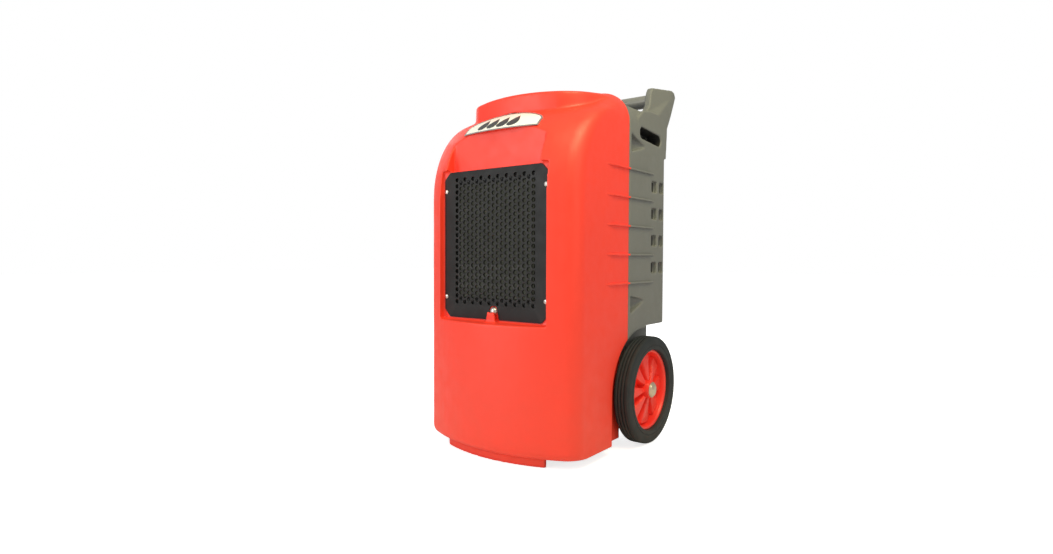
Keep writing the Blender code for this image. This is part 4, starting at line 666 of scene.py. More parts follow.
def sideRibs(name, start, end):
    bm = bmesh.new()
    root = shell["half"] - 0.002
    stations = [start + (end - start) * i / 12 for i in range(13)]
    for side in (1, -1):
        for step in range(ribs["count"]):
            height = ribs["top"] - (ribs["top"] - ribs["bottom"]) * step / (ribs["count"] - 1)
            rings = []
            for y in stations:
                reach = min(y - ribs["first"], ribs["last"] - y) / ribs["taper"]
                out = shell["half"] + ribs["proud"] * min(max(reach, 0.1), 1.0)
                thick = ribs["thick"]
                section = [(root, -thick / 2), (out, -thick * 0.4), (out, thick * 0.4), (root, thick / 2)]
                rings.append([bm.verts.new((side * x, y, height + z)) for x, z in section])
            for here, after in zip(rings, rings[1:]):
                band(bm, here, after)
            bm.faces.new(rings[0])
            bm.faces.new(rings[-1])
    return fromBmesh(name, bm)


front = {
    "pocket": (0.178, -0.2602, 0.352, 0.756),  # half width, floor, bottom, top
    "channel": (0.155, -0.243, 0.752, 0.867),
    "airHalf": 0.1475,
    "airBottom": 0.394,
    "airTop": 0.736,
    "footHalf": 0.163,
    "footDepth": 0.010,
    "lugTop": 0.380,
    "mouldRounds": 5,
    "crestRounds": 26,
    "lug": ((-0.017, 0.346), (0.017, 0.346), (0.0115, 0.380), (-0.0115, 0.380)),
    "lugReach": (-0.276, -0.270),
}
badge = {"half": 0.124, "low": 0.852, "side": 0.872, "rise": 0.035, "shoulder": 1.15}


def badgeOutline(margin=0.0, count=28):
    half, rise = badge["half"] + margin, badge["rise"] + margin
    low, side = badge["low"] - margin, badge["side"]
    points = [(-half, low), (half, low), (half, side)]
    for step in range(1, count):
        turn = math.pi * step / count
        across = math.copysign(abs(math.cos(turn)) ** badge["shoulder"], math.cos(turn))
        points.append((half * across, side + rise * math.sin(turn) ** badge["shoulder"]))
    return points + [(-half, side)]


def makeFrontCasing():
    f, wall, seam = front, shell["frontWall"], shell["seamY"]
    ahead = shell["apexY"] - 0.02
    casing = frontForm("frontCasing")
    brow = crestForm("crest")
    over = prism("overBadge", [badgeOutline(0.0012)], "y", shell["apexY"] - 0.01, seam - 0.14)
    cut(over, frontForm("underBadge", 0.002))
    cut(brow, over)
    join(casing, brow)
    void = frontForm("void", wall, shell["skirt"] - 0.01, seam + 0.01)
    join(void, crestForm("crestVoid", wall, seam + 0.01))
    pocketHalf, pocketFloor, pocketBottom, pocketTop = f["pocket"]
    channelHalf, channelFloor, channelBottom, channelTop = f["channel"]
    cut(
        void,
        boxes("pocketWall", [middleBox(pocketHalf + wall, ahead, pocketFloor + 0.005, pocketBottom - wall,
            pocketTop + wall)]),
        boxes("channelWall", [
            middleBox(channelHalf + wall, ahead, channelFloor + wall, channelBottom - wall,
                channelTop + wall),
        ]),
        *archTools("archWall", wall),
    )
    cut(casing, void)
    swing = math.asin(f["footHalf"] / shell["bow"])
    turns = [swing * step / 16 for step in range(-16, 17)]
    footFront = shell["apexY"] + shell["tuck"]
    sole = [(shell["bow"] * math.sin(t), footFront + shell["bow"] * (1 - math.cos(t))) for t in turns]
    sole += [(x, y + f["footDepth"]) for x, y in reversed(sole)]
    join(casing, prism("foot", [sole], "z", 0.0, shell["skirt"] + 0.03))
    cut(
        casing,
        boxes("pocket", [middleBox(pocketHalf, ahead, pocketFloor, pocketBottom, pocketTop)]),
        boxes("channel", [middleBox(channelHalf, ahead, channelFloor, channelBottom, channelTop)]),
        boxes("airWay", [middleBox(f["airHalf"], ahead, pocketFloor + 0.02, f["airBottom"], f["airTop"])]),
    )
    join(casing, prism("lug", [f["lug"]], "y", *f["lugReach"]))
    studHole = rods("studHole", "y", [(0, pocketFloor, f["lugTop"])], 0.0044, 0.06)
    cut(casing, studHole, *archTools("arch"))
    cut(casing, rods("screwHoles", "y", screwPlaces, 0.0029, 0.04, 24))
    mould(casing, f["mouldRounds"])
    soften = casing.vertex_groups.new(name="brow")
    for vertex in casing.data.vertices:
        x, y, z = vertex.co
        if z > 0.86 and y < seam - 0.008:
            share = min(1.0, (z - 0.86) / 0.02, (seam - 0.008 - y) / 0.03)
            nearPlate = abs(x) < badge["half"] + 0.004 and z < badge["side"] + badge["rise"] + 0.006
            if not nearPlate:
                soften.add([vertex.index], share, "REPLACE")
    relax = casing.modifiers.new("relax", "SMOOTH")
    relax.factor = 0.5
    relax.iterations = f["crestRounds"]
    relax.vertex_group = "brow"
    settle(casing)
    thinOut(casing)
    fit(casing, "machine", paint["redCasing"], "red_casing", "front_casing")
    ribbed = shade(chamfer(sideRibs("frontRibs", ribs["first"], seam - 0.0006), 0.0009, 2, 50), 35)
    fit(ribbed, "machine", paint["redCasing"], "red_casing")
    print("front casing moulded:", len(casing.data.polygons), "faces")


bar = {"radius": 0.019, "half": 0.2215, "y": 0.202, "z": 0.985}  # a plain painted tube between the ears
rear = {
    "boxBottom": 0.327,
    "lowerBackY": 0.179,
    "floorZ": 0.050,
    "recess": (0.190, 0.197, 0.365, 0.875),  # half width, floor, bottom, top
    "bayFront": 0.107,
    "bayFloor": 0.905,
    "earInner": 0.210,
    "earRise": 0.045,
    "earReach": 0.063,
    "roofDrop": 0.008,
    "rimDrop": 0.0445,
    "panel": (0.150, 0.685, 0.860),  # half width, bottom, top
    "outlet": (0.150, 0.380, 0.655),
    "frameLip": 0.013,
    "rimInner": 0.1875,
    "mouldRounds": 4,
}
slot = {"front": 0.078, "frontDrop": 0.114, "back": 0.180, "backDrop": 0.121, "radius": 0.0165,
    "deep": 0.048}
windows = {"top": 0.727, "bottom": 0.493, "rows": 4, "half": 0.016, "deep": 0.013,
    "panes": ((0.138, 0.172), (0.188, 0.217))}


def rearBox(name, inset=0.0, start=None):
    start = shell["seamY"] + 0.0003 if start is None else start
    section = []
    for x, z in wholeRoof(inset, rear["boxBottom"] + inset):  # the roof sits a step below the front's
        section.append((x, z - rear["roofDrop"] * smoothStep((z - 0.80) / 0.08)))
    block = prism(name, [section], "y", start, shell["backY"] - inset)
    half = shell["half"] - inset
    plan = roundedRectangle(-half, shell["seamY"] - 0.1, half, shell["backY"] - inset, 0.022, 8)
    return combine(block, "INTERSECT", prism(name + "Corners", [plan], "z", 0.25, 1.05))


def earTools():
    top, tip, crown = shell["height"] + rear["earRise"], shell["backY"] + rear["earReach"], shell["height"]
    bay, back, mid = rear["bayFront"], shell["backY"], bar["y"]
    outline = [
        (bay - 0.040, crown - 0.075), (bay - 0.012, crown - 0.052), (bay + 0.020, crown - 0.046),
        (mid - 0.050, crown - 0.044), (mid - 0.029, crown - 0.018), (mid - 0.020, crown + 0.020),
        (mid - 0.010, crown + 0.036), (tip - 0.028, top), (tip - 0.010, top - 0.003),
        (tip, top - 0.016), (tip - 0.013, top - 0.043), (tip - 0.035, top - 0.085),
        (tip - 0.057, top - 0.121),
        (back + 0.004, top - 0.153), (back - 0.001, top - 0.212), (bay - 0.020, crown - 0.180),
    ]
    half = shell["half"]
    right = prism("earRight", [outline], "x", rear["earInner"], half - 0.0005)
    left = prism("earLeft", [outline], "x", -half + 0.0005, -rear["earInner"])
    cut(right, earFacet("facetRight", 1))
    cut(left, earFacet("facetLeft", -1))
    inner = rear["earInner"]
    slant = [(inner - 0.01, top - 0.024), (inner + 0.014, top + 0.005), (inner - 0.01, top + 0.005)]
    for ear, name in ((right, "slantRight"), (left, "slantLeft")):
        cut(ear, prism(name, [slant, [(-x, z) for x, z in slant]], "y", bay, tip + 0.02))
    return right, left


def earFacet(name, side):
    # a wedge whose slanting face turns the ear's front back to its outer side
    inner, outer = shell["half"] - 0.020, shell["half"] + 0.010
    tip = shell["backY"] + rear["earReach"]
    rings = []
    bm = bmesh.new()
    for level, front, back in (
        (shell["height"] - 0.044, bar["y"] - 0.050, shell["seamY"] + 0.185),
        (shell["height"] + rear["earRise"] + 0.004, bar["y"] - 0.008, tip - 0.020),
    ):
        swept = front + (back - front) * (outer - inner) / (shell["half"] - inner)
        plan = [(inner, front), (outer, swept), (outer, front - 0.05), (inner, front - 0.05)]
        rings.append([bm.verts.new((side * x, y, level)) for x, y in plan])
    low, high = rings
    bm.faces.new(low)
    bm.faces.new(high)
    bm.faces.new((low[0], low[1], high[1]))
    bm.faces.new((low[0], high[1], high[0]))
    for i in range(1, 4):
        j = (i + 1) % 4
        bm.faces.new((low[i], low[j], high[j], high[i]))
    return fromBmesh(name, bm)


def slotTools(name, extra, depth):
    seam, crown, radius = shell["seamY"], shell["height"], slot["radius"] + extra
    outline = arc(seam + slot["front"], crown - slot["frontDrop"], radius, 90, 270, 18)
    outline += arc(seam + slot["back"], crown - slot["backDrop"], radius, -90, 90, 18)
    half = shell["half"]
    return (
        prism(name + "Right", [outline], "x", half - depth, half + 0.02),
        prism(name + "Left", [outline], "x", -half - 0.02, -half + depth),
    )


def windowBoxes(name, deep, out, edge=0.0):
    w = windows
    spans = []
    for side in (1, -1):
        for step in range(w["rows"]):
            height = w["top"] - (w["top"] - w["bottom"]) * step / (w["rows"] - 1)
            for start, end in w["panes"]:
                inner, outer = sorted((side * (shell["half"] - deep), side * (shell["half"] + out)))
                low = (inner, shell["seamY"] + start - edge, height - w["half"] - edge)
                spans.append((low, (outer, shell["seamY"] + end + edge, height + w["half"] + edge)))
    return boxes(name, spans)


def windowBacking():
    # keeps the wall thick behind the windows, so that they are blind pockets
    half = shell["half"]
    spans = []
    for side in (1, -1):
        inner, outer = sorted((side * (half - 0.018), side * (half + 0.01)))
        spans.append(((inner, shell["seamY"] + 0.132, 0.470), (outer, shell["backY"] + 0.01, 0.750)))
    return boxes("windowBacking", spans)


boltPlaces = [(side, height) for side in (1, -1) for height in (0.835, 0.391)]
boltX, boltSeat = shell["half"] - 0.014, shell["seamY"] + 0.012


def boltPockets():
    bm = bmesh.new()
    tip = shell["seamY"] + 0.098
    for side in (1, -1):
        for height, lean in ((0.835, -0.002), (0.391, 0.010)):
            deep, out = side * (shell["half"] - 0.026), side * (shell["half"] + 0.02)
            low, high, point = height - 0.024, height + 0.026, height + lean
            corners = [
                (deep, boltSeat, low), (deep, boltSeat, high), (side * (shell["half"] - 0.001), tip, point),
                (out, boltSeat, low), (out, boltSeat, high), (out, tip, point),
            ]
            verts = [bm.verts.new(corner) for corner in corners]
            for face in ((0, 1, 2), (3, 4, 5), (0, 1, 4, 3), (1, 2, 5, 4), (2, 0, 3, 5)):
                bm.faces.new([verts[i] for i in face])
    return fromBmesh("boltPockets", bm)


panelScrews = [(side * 0.143, height) for side in (1, -1) for height in (0.853, 0.692)]


def flatRims(name, wall=0.0):
    # takes the roof's outer edges down to a level rim beside the handle bay
    level, start = shell["height"] - rear["rimDrop"] - wall, shell["seamY"] + 0.010 - wall
    inner, outer = rear["rimInner"] - wall, 0.30
    spans = []
    for side in (1, -1):
        near, far = sorted((side * inner, side * outer))
        spans.append(((near, start, level), (far, shell["backY"] + 0.01, level + 0.09)))
    return boxes(name, spans)


def makeRearCasing():
    r, wall, half, seam, back = rear, shell["rearWall"], shell["half"], shell["seamY"], shell["backY"]
    start = seam + 0.0003
    casing = rearBox("rearCasing")
    cut(casing, flatRims("flatRims"))
    join(
        casing,
        boxes("lowerBody", [middleBox(wheel["wellX"], start, r["lowerBackY"], r["floorZ"],
            r["boxBottom"] + 0.004)]),
        boxes("fenders", [middleBox(half, start, wheel["y"] + 0.020, r["floorZ"] + 0.01,
            r["boxBottom"] + 0.003)]),
        *earTools(),
    )
    void = rearBox("rearVoid", wall, start - 0.01)
    lowerHalf, lowerBack = wheel["wellX"] - wall, r["lowerBackY"] - wall
    join(void, boxes("lowerVoid", [
        middleBox(lowerHalf, start - 0.01, lowerBack, r["floorZ"] - 0.01, r["boxBottom"] + 0.03),
    ]))
    recessHalf, recessFloor, recessBottom, recessTop = r["recess"]
    backing = []
    for side, height in boltPlaces:
        low = (side * half - 0.032, seam - 0.02, height - 0.032)
        backing.append((low, (side * half + 0.032, seam + 0.105, height + 0.034)))
    cut(
        void,
        boxes("recessWall", [
            middleBox(recessHalf + wall, recessFloor - wall, back + 0.01, recessBottom - wall,
                recessTop + wall),
        ]),
        boxes("bayWall", [
            middleBox(half, r["bayFront"] - wall, back + 0.01, r["bayFloor"] - wall,
                shell["height"] + 0.02),
        ]),
        *slotTools("slotWall", 0.004, slot["deep"] + 0.004),
        *archTools("rearArchWall", wall),
        boxes("pocketBacking", backing),
        windowBacking(),
        flatRims("rimWall", wall),
    )
    cut(casing, void)
    openings = []
    lip = r["frameLip"]
    for wide, low, high in (r["panel"], r["outlet"]):
        openings.append(middleBox(wide - lip, recessFloor - 0.02, recessFloor + 0.02, low + lip,
            high - lip))
    cut(
        casing,
        boxes("recess", [middleBox(recessHalf, recessFloor, back + 0.02, recessBottom, recessTop)]),
        boxes("openings", openings),
        boxes("bay", [middleBox(r["earInner"], r["bayFront"], back + 0.1, r["bayFloor"],
            shell["height"] + 0.1)]),
    )
    windowCut = windowBoxes("windows", windows["deep"], 0.02)
    cut(casing, *slotTools("slot", 0.0, slot["deep"]), windowCut, boltPockets())
    barEnds = [(side * r["earInner"], bar["y"], bar["z"]) for side in (1, -1)]
    cut(
        casing,
        rods("barHoles", "x", barEnds, bar["radius"] + 0.0006, 0.024),
        rods("axleWay", "x", [(0, wheel["y"], wheel["z"])], 0.0103, 2 * half),
        *archTools("rearArch"),
    )
    screwWays = [(x, recessFloor, z) for x, z in panelScrews]
    boltWays = [(side * boltX, seam, height) for side, height in boltPlaces]
    cut(
        casing,
        rods("panelHoles", "y", screwWays, 0.003, 0.03, 24),
        rods("hoseWay", "y", [(-0.120, r["lowerBackY"], 0.215)], 0.0086, 0.05),
        rods("boltWays", "y", boltWays, 0.0035, 0.07, 24),
    )
    mould(casing, r["mouldRounds"])
    thinOut(casing)
    fit(casing, "machine", paint["greyCasing"], "grey_casing", "rear_casing")
    # painted shade: black cups set inside the hand slots, where shade falls
    shadeCups = slotTools("shadeCup", 0.0010, slot["deep"] - 0.0006)
    hollows = slotTools("shadeCupHollow", -0.0006, slot["deep"] - 0.0020)
    for shadeCup, hollow, title, side in zip(shadeCups, hollows, ("Right", "Left"), (1, -1)):  # painted shade: black cups darken the hand slots' hollows
        near, far = sorted((side * (half - 0.0035), side * (half + 0.04)))
        cut(shadeCup, hollow, boxes("shadeCupTrim", [((near, 0.0, 0.80), (far, 0.3, 0.95))]))
        shadeCup.name = "slotShadeCup" + title
        fit(shade(shadeCup, 40), "machine", paint["blackPlastic"], "black_plastic")
    # painted shade: thin black plates on the floors of the window pockets, where shade falls
    shadeFloors = windowBoxes("windowShadeFloors", windows["deep"] + 0.0020, 0.0012 - windows["deep"], 0.0006)
    fit(shade(shadeFloors), "machine", paint["blackPlastic"], "black_plastic")
    ribbed = shade(chamfer(sideRibs("rearRibs", start + 0.0006, ribs["last"]), 0.0009, 2, 50), 35)
    fit(ribbed, "machine", paint["greyCasing"], "grey_casing")
    print("rear casing moulded:", len(casing.data.polygons), "faces")


screwPlaces = [(side * 0.167, -0.2602, height) for side in (1, -1) for height in (0.700, 0.413)]
makeFrontCasing()
makeRearCasing()


# a bowed plate with a bright rim and plain slanted drops
badgeMake = {"rim": 0.0035, "rimRise": 0.0028, "faceRise": 0.0021, "inkRise": 0.0026, "inkFoot": 0.0019}


def bowedPlate(name, outlines, rise, lift=0.0003):
    plate = prism(name, outlines, "y", shell["apexY"], shell["seamY"] - 0.15)
    combine(plate, "INTERSECT", frontForm(name + "Outer", -rise, shell["skirt"] - 0.01))
    return cut(plate, frontForm(name + "Inner", -lift, shell["skirt"] - 0.02, shell["seamY"] + 0.02))


def slantedDrop(x, z, size, lean=0.30, count=24):
    points = []
    for step in range(count):
        t = 2 * math.pi * step / count
        a = 0.72 * size * math.sin(t) * math.sin(t / 2) ** 1.3
        b = size * (0.5 + 0.5 * math.cos(t))
        points.append((x + a + lean * b, z + b))
    return points


def makeBadge():
    b = badgeMake
    rim = bowedPlate("badgeRim", [badgeOutline()], b["rimRise"])
    cut(rim, prism("badgeWindow", [badgeOutline(-b["rim"])], "y", shell["apexY"] - 0.01,
        shell["seamY"] - 0.1))
    shade(chamfer(rim, 0.0004, 2))
    fit(rim, "machine", paint["badgeSilver"], "badge_white", "badge")
    face = bowedPlate("badgeFace", [badgeOutline(-b["rim"] - 0.0001)], b["faceRise"])
    shade(face)
    fit(face, "machine", paint["badgeWhite"], "badge_white")
    marks = []
    for step in range(4):
        marks.append(slantedDrop(-0.062 + 0.034 * step, 0.8600, 0.030))
    ink = bowedPlate("badgeDrops", marks, b["inkRise"], b["inkFoot"])
    shade(ink)
    fit(ink, "machine", paint["badgeInk"], "badge_white")
    print("badge laid on")


makeBadge()


# a powder-coated plate with a staggered field of round holes
grille = {
    "half": 0.1735,
    "low": 0.358,
    "high": 0.752,
    "front": -0.263,
    "thick": 0.0025,
    "clip": 0.020,
    "pitchX": 0.0143,
    "pitchZ": 0.01645,
    "firstZ": 0.401,
    "columns": 19,
    "rows": 21,
    "hole": 0.0061,
    "sides": 24,
}


def grilleOutline():
    h, low, high, clip = grille["half"], grille["low"], grille["high"], grille["clip"]
    points = [
        (-h + clip, low), (-0.019, low), (-0.0135, low + 0.022), (-0.0135, low + 0.027),
        (-0.0085, low + 0.036),
        (0.0085, low + 0.036), (0.0135, low + 0.027), (0.0135, low + 0.022), (0.019, low), (h - clip, low),
        (h, low + clip), (h, high - clip), (h - clip, high), (-h + clip, high), (-h, high - clip),
        (-h, low + clip),
    ]
    soft = []  # small radius at every corner
    for i, here in enumerate(points):
        here = Vector(here)
        before, after = Vector(points[i - 1]), Vector(points[(i + 1) % len(points)])
        reach = min(0.004, (before - here).length * 0.4, (after - here).length * 0.4)
        start, end = here + (before - here).normalized() * reach, here + (after - here).normalized() * reach
        for step in range(5):
            t = step / 4
            soft.append(tuple(start * (1 - t) ** 2 + here * 2 * t * (1 - t) + end * t**2))
    return soft


def makeGrille():
    g = grille
    bm = bmesh.new()
    made = {}

    def corner(x, z):
        key = (round(x, 6), round(z, 6))
        if key not in made:
            made[key] = bm.verts.new((x, g["front"], z))
        return made[key]

    def ringOf(x, z, radius, count):
        turns = [2 * math.pi * i / count for i in range(count)]
        return [bm.verts.new((x + radius * math.cos(t), g["front"], z + radius * math.sin(t)))
            for t in turns]

    middle = (g["columns"] - 1) / 2
    quarter = g["sides"] // 6
    for column in range(g["columns"]):
        x = (column - middle) * g["pitchX"]
        odd = (column + 1 - int(middle)) % 2
        for row in range(g["rows"] - odd):
            z = g["firstZ"] + g["pitchZ"] * (row + 0.5 * odd)
            halfStep = g["pitchX"] * 2 / 3
            hexagon = []
            corners = [
                (x + halfStep, z), (x + halfStep / 2, z + g["pitchZ"] / 2),
                (x - halfStep / 2, z + g["pitchZ"] / 2),
                (x - halfStep, z), (x - halfStep / 2, z - g["pitchZ"] / 2),
                (x + halfStep / 2, z - g["pitchZ"] / 2),
            ]
            for i in range(6):
                a, b = corners[i], corners[(i + 1) % 6]
                for step in range(quarter):
                    t = step / quarter
                    hexagon.append(corner(a[0] + (b[0] - a[0]) * t, a[1] + (b[1] - a[1]) * t))
            band(bm, hexagon, ringOf(x, z, g["hole"], g["sides"]))
    loops = [[bm.verts.new((x, g["front"], z)) for x, z in grilleOutline()]]
    loops += [ringOf(x, z, 0.0029, 20) for x, _, z in screwPlaces]
    edges = []
    for loop in loops:
        edges += [bm.edges.new((loop[i], loop[(i + 1) % len(loop)])) for i in range(len(loop))]
    corners = set(made.values())
    border = [edge for edge in bm.edges if len(edge.link_faces) == 1]
    rim = [edge for edge in border if edge.verts[0] in corners and edge.verts[1] in corners]
    bmesh.ops.triangle_fill(bm, use_beauty=True, use_dissolve=False, edges=edges + rim)
    faces = list(bm.faces)
    pushed = bmesh.ops.extrude_face_region(bm, geom=faces)
    moved = [item for item in pushed["geom"] if isinstance(item, bmesh.types.BMVert)]
    bmesh.ops.translate(bm, vec=(0, g["thick"], 0), verts=moved)
    plate = fromBmesh("grillePlate", bm)
    chamfer(plate, 0.0003, 1, 60)
    shade(plate, 45)
    fit(plate, "machine", paint["coatedSteel"], "coated_steel", "grille_plate")
    print("grille punched:", len(plate.data.polygons), "faces")


makeGrille()


foam = {"half": 0.128, "low": 0.4130, "high": 0.7170, "front": -0.2597, "depth": 0.012, "cell": 0.0085,
    "dent": 0.0007}


def makeFilter():
    # a quilted pad: shallow dents where the wire behind holds it
    f = foam
    bm = bmesh.new()
    across = round(2 * f["half"] / f["cell"]) * 4
    upward = round((f["high"] - f["low"]) / f["cell"]) * 4
    sheets = []
    for y, sign in ((f["front"], 1), (f["front"] + f["depth"], -1)):
        rows = []
        for j in range(upward + 1):
            row = []
            for i in range(across + 1):
                x = -f["half"] + 2 * f["half"] * i / across
                z = f["low"] + (f["high"] - f["low"]) * j / upward
                edge = min(i, across - i, j, upward - j)
                swell = math.cos(math.pi * i / 4) * math.cos(math.pi * j / 4)
                depth = f["dent"] * (0.5 + 0.5 * swell) if edge > 0 else f["dent"] * 2.5
                row.append(bm.verts.new((x, y + sign * depth, z)))
            rows.append(row)
        sheets.append(rows)
    for rows in sheets:
        for j in range(upward):
            for i in range(across):
                bm.faces.new((rows[j][i], rows[j][i + 1], rows[j + 1][i + 1], rows[j + 1][i]))
    rims = []
    for rows in sheets:
        right, left = [row[-1] for row in rows[:-1]], [row[0] for row in rows[:0:-1]]
        rims.append(rows[0][:-1] + right + rows[-1][:0:-1] + left)
    band(bm, *rims)
    pad = fromBmesh("filterPad", bm)
    pad.data.shade_smooth()
    fit(pad, "machine", paint["filterFoam"], "filter_foam", "air_filter")
    edge = 0.0185
    half, low, high = f["half"] + edge, f["low"] - edge, f["high"] + edge
    outline = roundedRectangle(-half, low, half, high, 0.003)
    tray = prism("filterFrame", [outline], "y", f["front"] + 0.004, f["front"] + f["depth"] + 0.0005)
    gap = 0.0003
    cut(tray, boxes("frameWindow", [middleBox(f["half"] + gap, -0.3, -0.2, f["low"] - gap,
        f["high"] + gap)]))
    shade(chamfer(tray, 0.0008, 2))
    fit(tray, "machine", paint["blackPlastic"], "black_plastic")


def domedHead(head, rise, shank, length, seat=0.0):
    # a pan head above its seat and a pointed shank, top to bottom
    curve = [(head * math.sin(math.radians(6 * i)), rise * math.cos(math.radians(6 * i)) ** 0.8)
        for i in range(15)]
    curve[0] = (0.0, rise)
    curve += [(head, rise * 0.12), (head * 0.985, seat)]
    return curve + [(shank * 1.15, seat), (shank, -0.0008), (shank, -length + 0.001),
        (shank - 0.001, -length), (0.0, -length)]


# head radius, rise of the head, shank radius, length
screwSizes = {
    "grille": (0.006, 0.003, 0.0025, 0.012),
    "casing": (0.007, 0.005, 0.003, 0.034),
    "panel": (0.0045, 0.0025, 0.0025, 0.010),
}
stud = {"at": (0, -0.2605, 0.380), "radius": 0.0115, "rise": 0.0085, "shank": 0.004, "length": 0.009}


def crossScrew(name, axis, at, size, node):
    head, rise, shank, length = size
    sign = -1 if axis == "-y" else 1
    profile = [(r, sign * h) for r, h in domedHead(head, rise, shank, length)]
    screw = lathe(name, "y", at, profile, 48)
    x, y, z = at
    deep, top = y + sign * rise * 0.35, y + sign * (rise + 0.001)
    low, high = sorted((deep, top))
    arm, half = head * 0.5, head * 0.10
    cut(screw, boxes("slotAcross", [((x - arm, low, z - half), (x + arm, high, z + half))]),
        boxes("slotUp", [((x - half, low, z - arm), (x + half, high, z + arm))]))
    shade(screw, 35)
    fit(screw, "machine", paint["zinc"], "zinc", node)


def makeFasteners():
    for index, (x, _, z) in enumerate(screwPlaces):
        at = (x, grille["front"] - 0.0003, z)
        crossScrew(f"grilleScrew{index + 1}", "-y", at, screwSizes["grille"], f"grille_screw_{index + 1}")
    for index, (side, height) in enumerate(boltPlaces):
        at = (side * boltX, boltSeat + 0.0003, height)
        crossScrew(f"casingBolt{index + 1}", "y", at, screwSizes["casing"], f"casing_bolt_{index + 1}")
    for index, (x, z) in enumerate(panelScrews):
        at = (x, 0.2006, z)
        crossScrew(f"panelScrew{index + 1}", "y", at, screwSizes["panel"], f"panel_screw_{index + 1}")
    wide, rise, shank, length = stud["radius"], stud["rise"], stud["shank"], stud["length"]
    turns = [math.radians(5 * i) for i in range(18)]
    dome = [((wide - 0.0003) * math.sin(t), -rise * math.cos(t) ** 0.9) for t in turns]
    dome[0] = (0.0, -rise)
    dome += [(wide, -0.0006), (wide, 0.0), (shank + 0.0002, 0.0), (shank, 0.0006), (shank, length),
        (0.0, length)]
    made = shade(lathe("grilleStud", "y", stud["at"], dome, 64), 35)
    fit(made, "machine", paint["zinc"], "zinc", "grille_stud")
    print("filter, screws and stud in place")


makeFilter()
makeFasteners()


tyre = {"width": 0.047, "seat": 0.1123, "steps": 144}
cap = {"foot": 0.0215, "dome": 0.0186, "step": 0.0034, "height": 0.0085}
hub = {
    "radius": 0.112,
    "spokes": 8,
    "bore": 0.0099,
    "web": -0.0085,
    "near": 0.031,
    "far": 0.097,
    "ridgeNear": 0.0125,
    "ridgeFar": 0.0015,
    "halfTurn": 13.2,
    "wall": 0.0042,
    "outer": 0.0235,
    "inner": -0.0255,
    "rimHalf": 0.0155,
}


def tyreProfile():
    # section as (radius, place along the axle): beads, side walls with a shallow ring, three grooves
    half, outer = tyre["width"] / 2, wheel["radius"]
    seat = tyre["seat"]
    side = [
        (seat, half - 0.0045), (seat + 0.0008, half - 0.0020), (seat + 0.003, half - 0.0004),
        (seat + 0.006, half),
        (outer - 0.026, half - 0.0001), (outer - 0.0255, half - 0.0009),
        (outer - 0.0245, half - 0.0009), (outer - 0.024, half - 0.0001), (outer - 0.012, half - 0.0005),
    ]
    side += arc(outer - 0.0081, half - 0.0084, 0.0078, 84, 12, 8)
    tread = []
    for middle, wide, deep in ((0.0095, 0.0013, 0.0032), (0.0, 0.0015, 0.0042), (-0.0095, 0.0013, 0.0032)):
        tread += [
            (outer, middle + wide * 1.7), (outer - 0.0005, middle + wide * 1.2),
            (outer - deep, middle + wide * 0.7),
            (outer - deep, middle - wide * 0.7), (outer - 0.0005, middle - wide * 1.2),
            (outer, middle - wide * 1.7),
        ]
    return side + tread + [(r, -h) for r, h in reversed(side)]


def makeTyre(name, axis, at):
    made = lathe(name, axis, at, tyreProfile(), tyre["steps"], closed=True)
    return shade(made, 50)


def hubHeight(radius, turn):
    # how far out the hub's face stands at a radius and a turn
    h = hub
    sector = 2 * math.pi / h["spokes"]
    off = abs((turn + sector / 2) % sector - sector / 2)
    edge = math.radians(h["halfTurn"]) + h["wall"] / (2 * radius)
    rise = smoothStep((edge - off) * radius / h["wall"])
    ends = smoothStep((radius - h["near"] + 0.010) / 0.006)
    ends *= smoothStep((h["far"] + 0.003 - radius) / 0.003)
    share = (radius - h["near"]) / (h["far"] - h["near"])
    ridge = h["ridgeNear"] + (h["ridgeFar"] - h["ridgeNear"]) * min(max(share, 0), 1)
    crown = 1 - 0.16 * min(off / edge, 1.0) ** 2
    return h["web"] + (ridge * crown - h["web"]) * rise * ends


def makeHub(name, axis, at):
    h = hub
    turn = Matrix.Translation(at) @ axisTurns[axis]
    steps = h["spokes"] * 40
    radii = [0.0262, 0.027, 0.028, 0.030, 0.0325] + [0.035 + 0.0028 * i for i in range(22)]
    radii += [0.0955, 0.0967, 0.0978, 0.099, 0.1]
    boss = [(h["bore"], h["outer"]), (0.0225, h["outer"]), (0.0236, h["outer"] - 0.0004)]
    boss += [(0.0243, h["outer"] - 0.0014), (0.0250, 0.0150)]
    rim = [
        (0.1012, -0.0070), (0.1022, -0.002), (0.1036, 0.0080), (0.1052, h["rimHalf"] - 0.001),
        (0.1066, h["rimHalf"]),
        (0.1108, h["rimHalf"]), (0.1118, h["rimHalf"] - 0.0006), (h["radius"], h["rimHalf"] - 0.0016),
        (h["radius"], -h["rimHalf"] + 0.0012), (0.1112, -h["rimHalf"]), (0.1060, -h["rimHalf"]),
        (0.1045, -h["rimHalf"] + 0.002), (0.1000, -0.0135), (0.060, -0.0125), (0.034, -0.0125),
        (0.0245, -0.0145), (0.0215, h["inner"] + 0.002), (0.0200, h["inner"]), (h["bore"], h["inner"]),
    ]
    bm = bmesh.new()
    columns = []
    for i in range(steps):
        angle = 2 * math.pi * i / steps
        face = [(r, hubHeight(r, angle)) for r in radii]
        section = boss + face + rim
        ring = [Vector((r * math.cos(angle), r * math.sin(angle), out)) for r, out in section]
        columns.append([bm.verts.new(turn @ point) for point in ring])
    for i in range(steps):
        band(bm, columns[i], columns[(i + 1) % steps])
    return shade(fromBmesh(name, bm), 42)


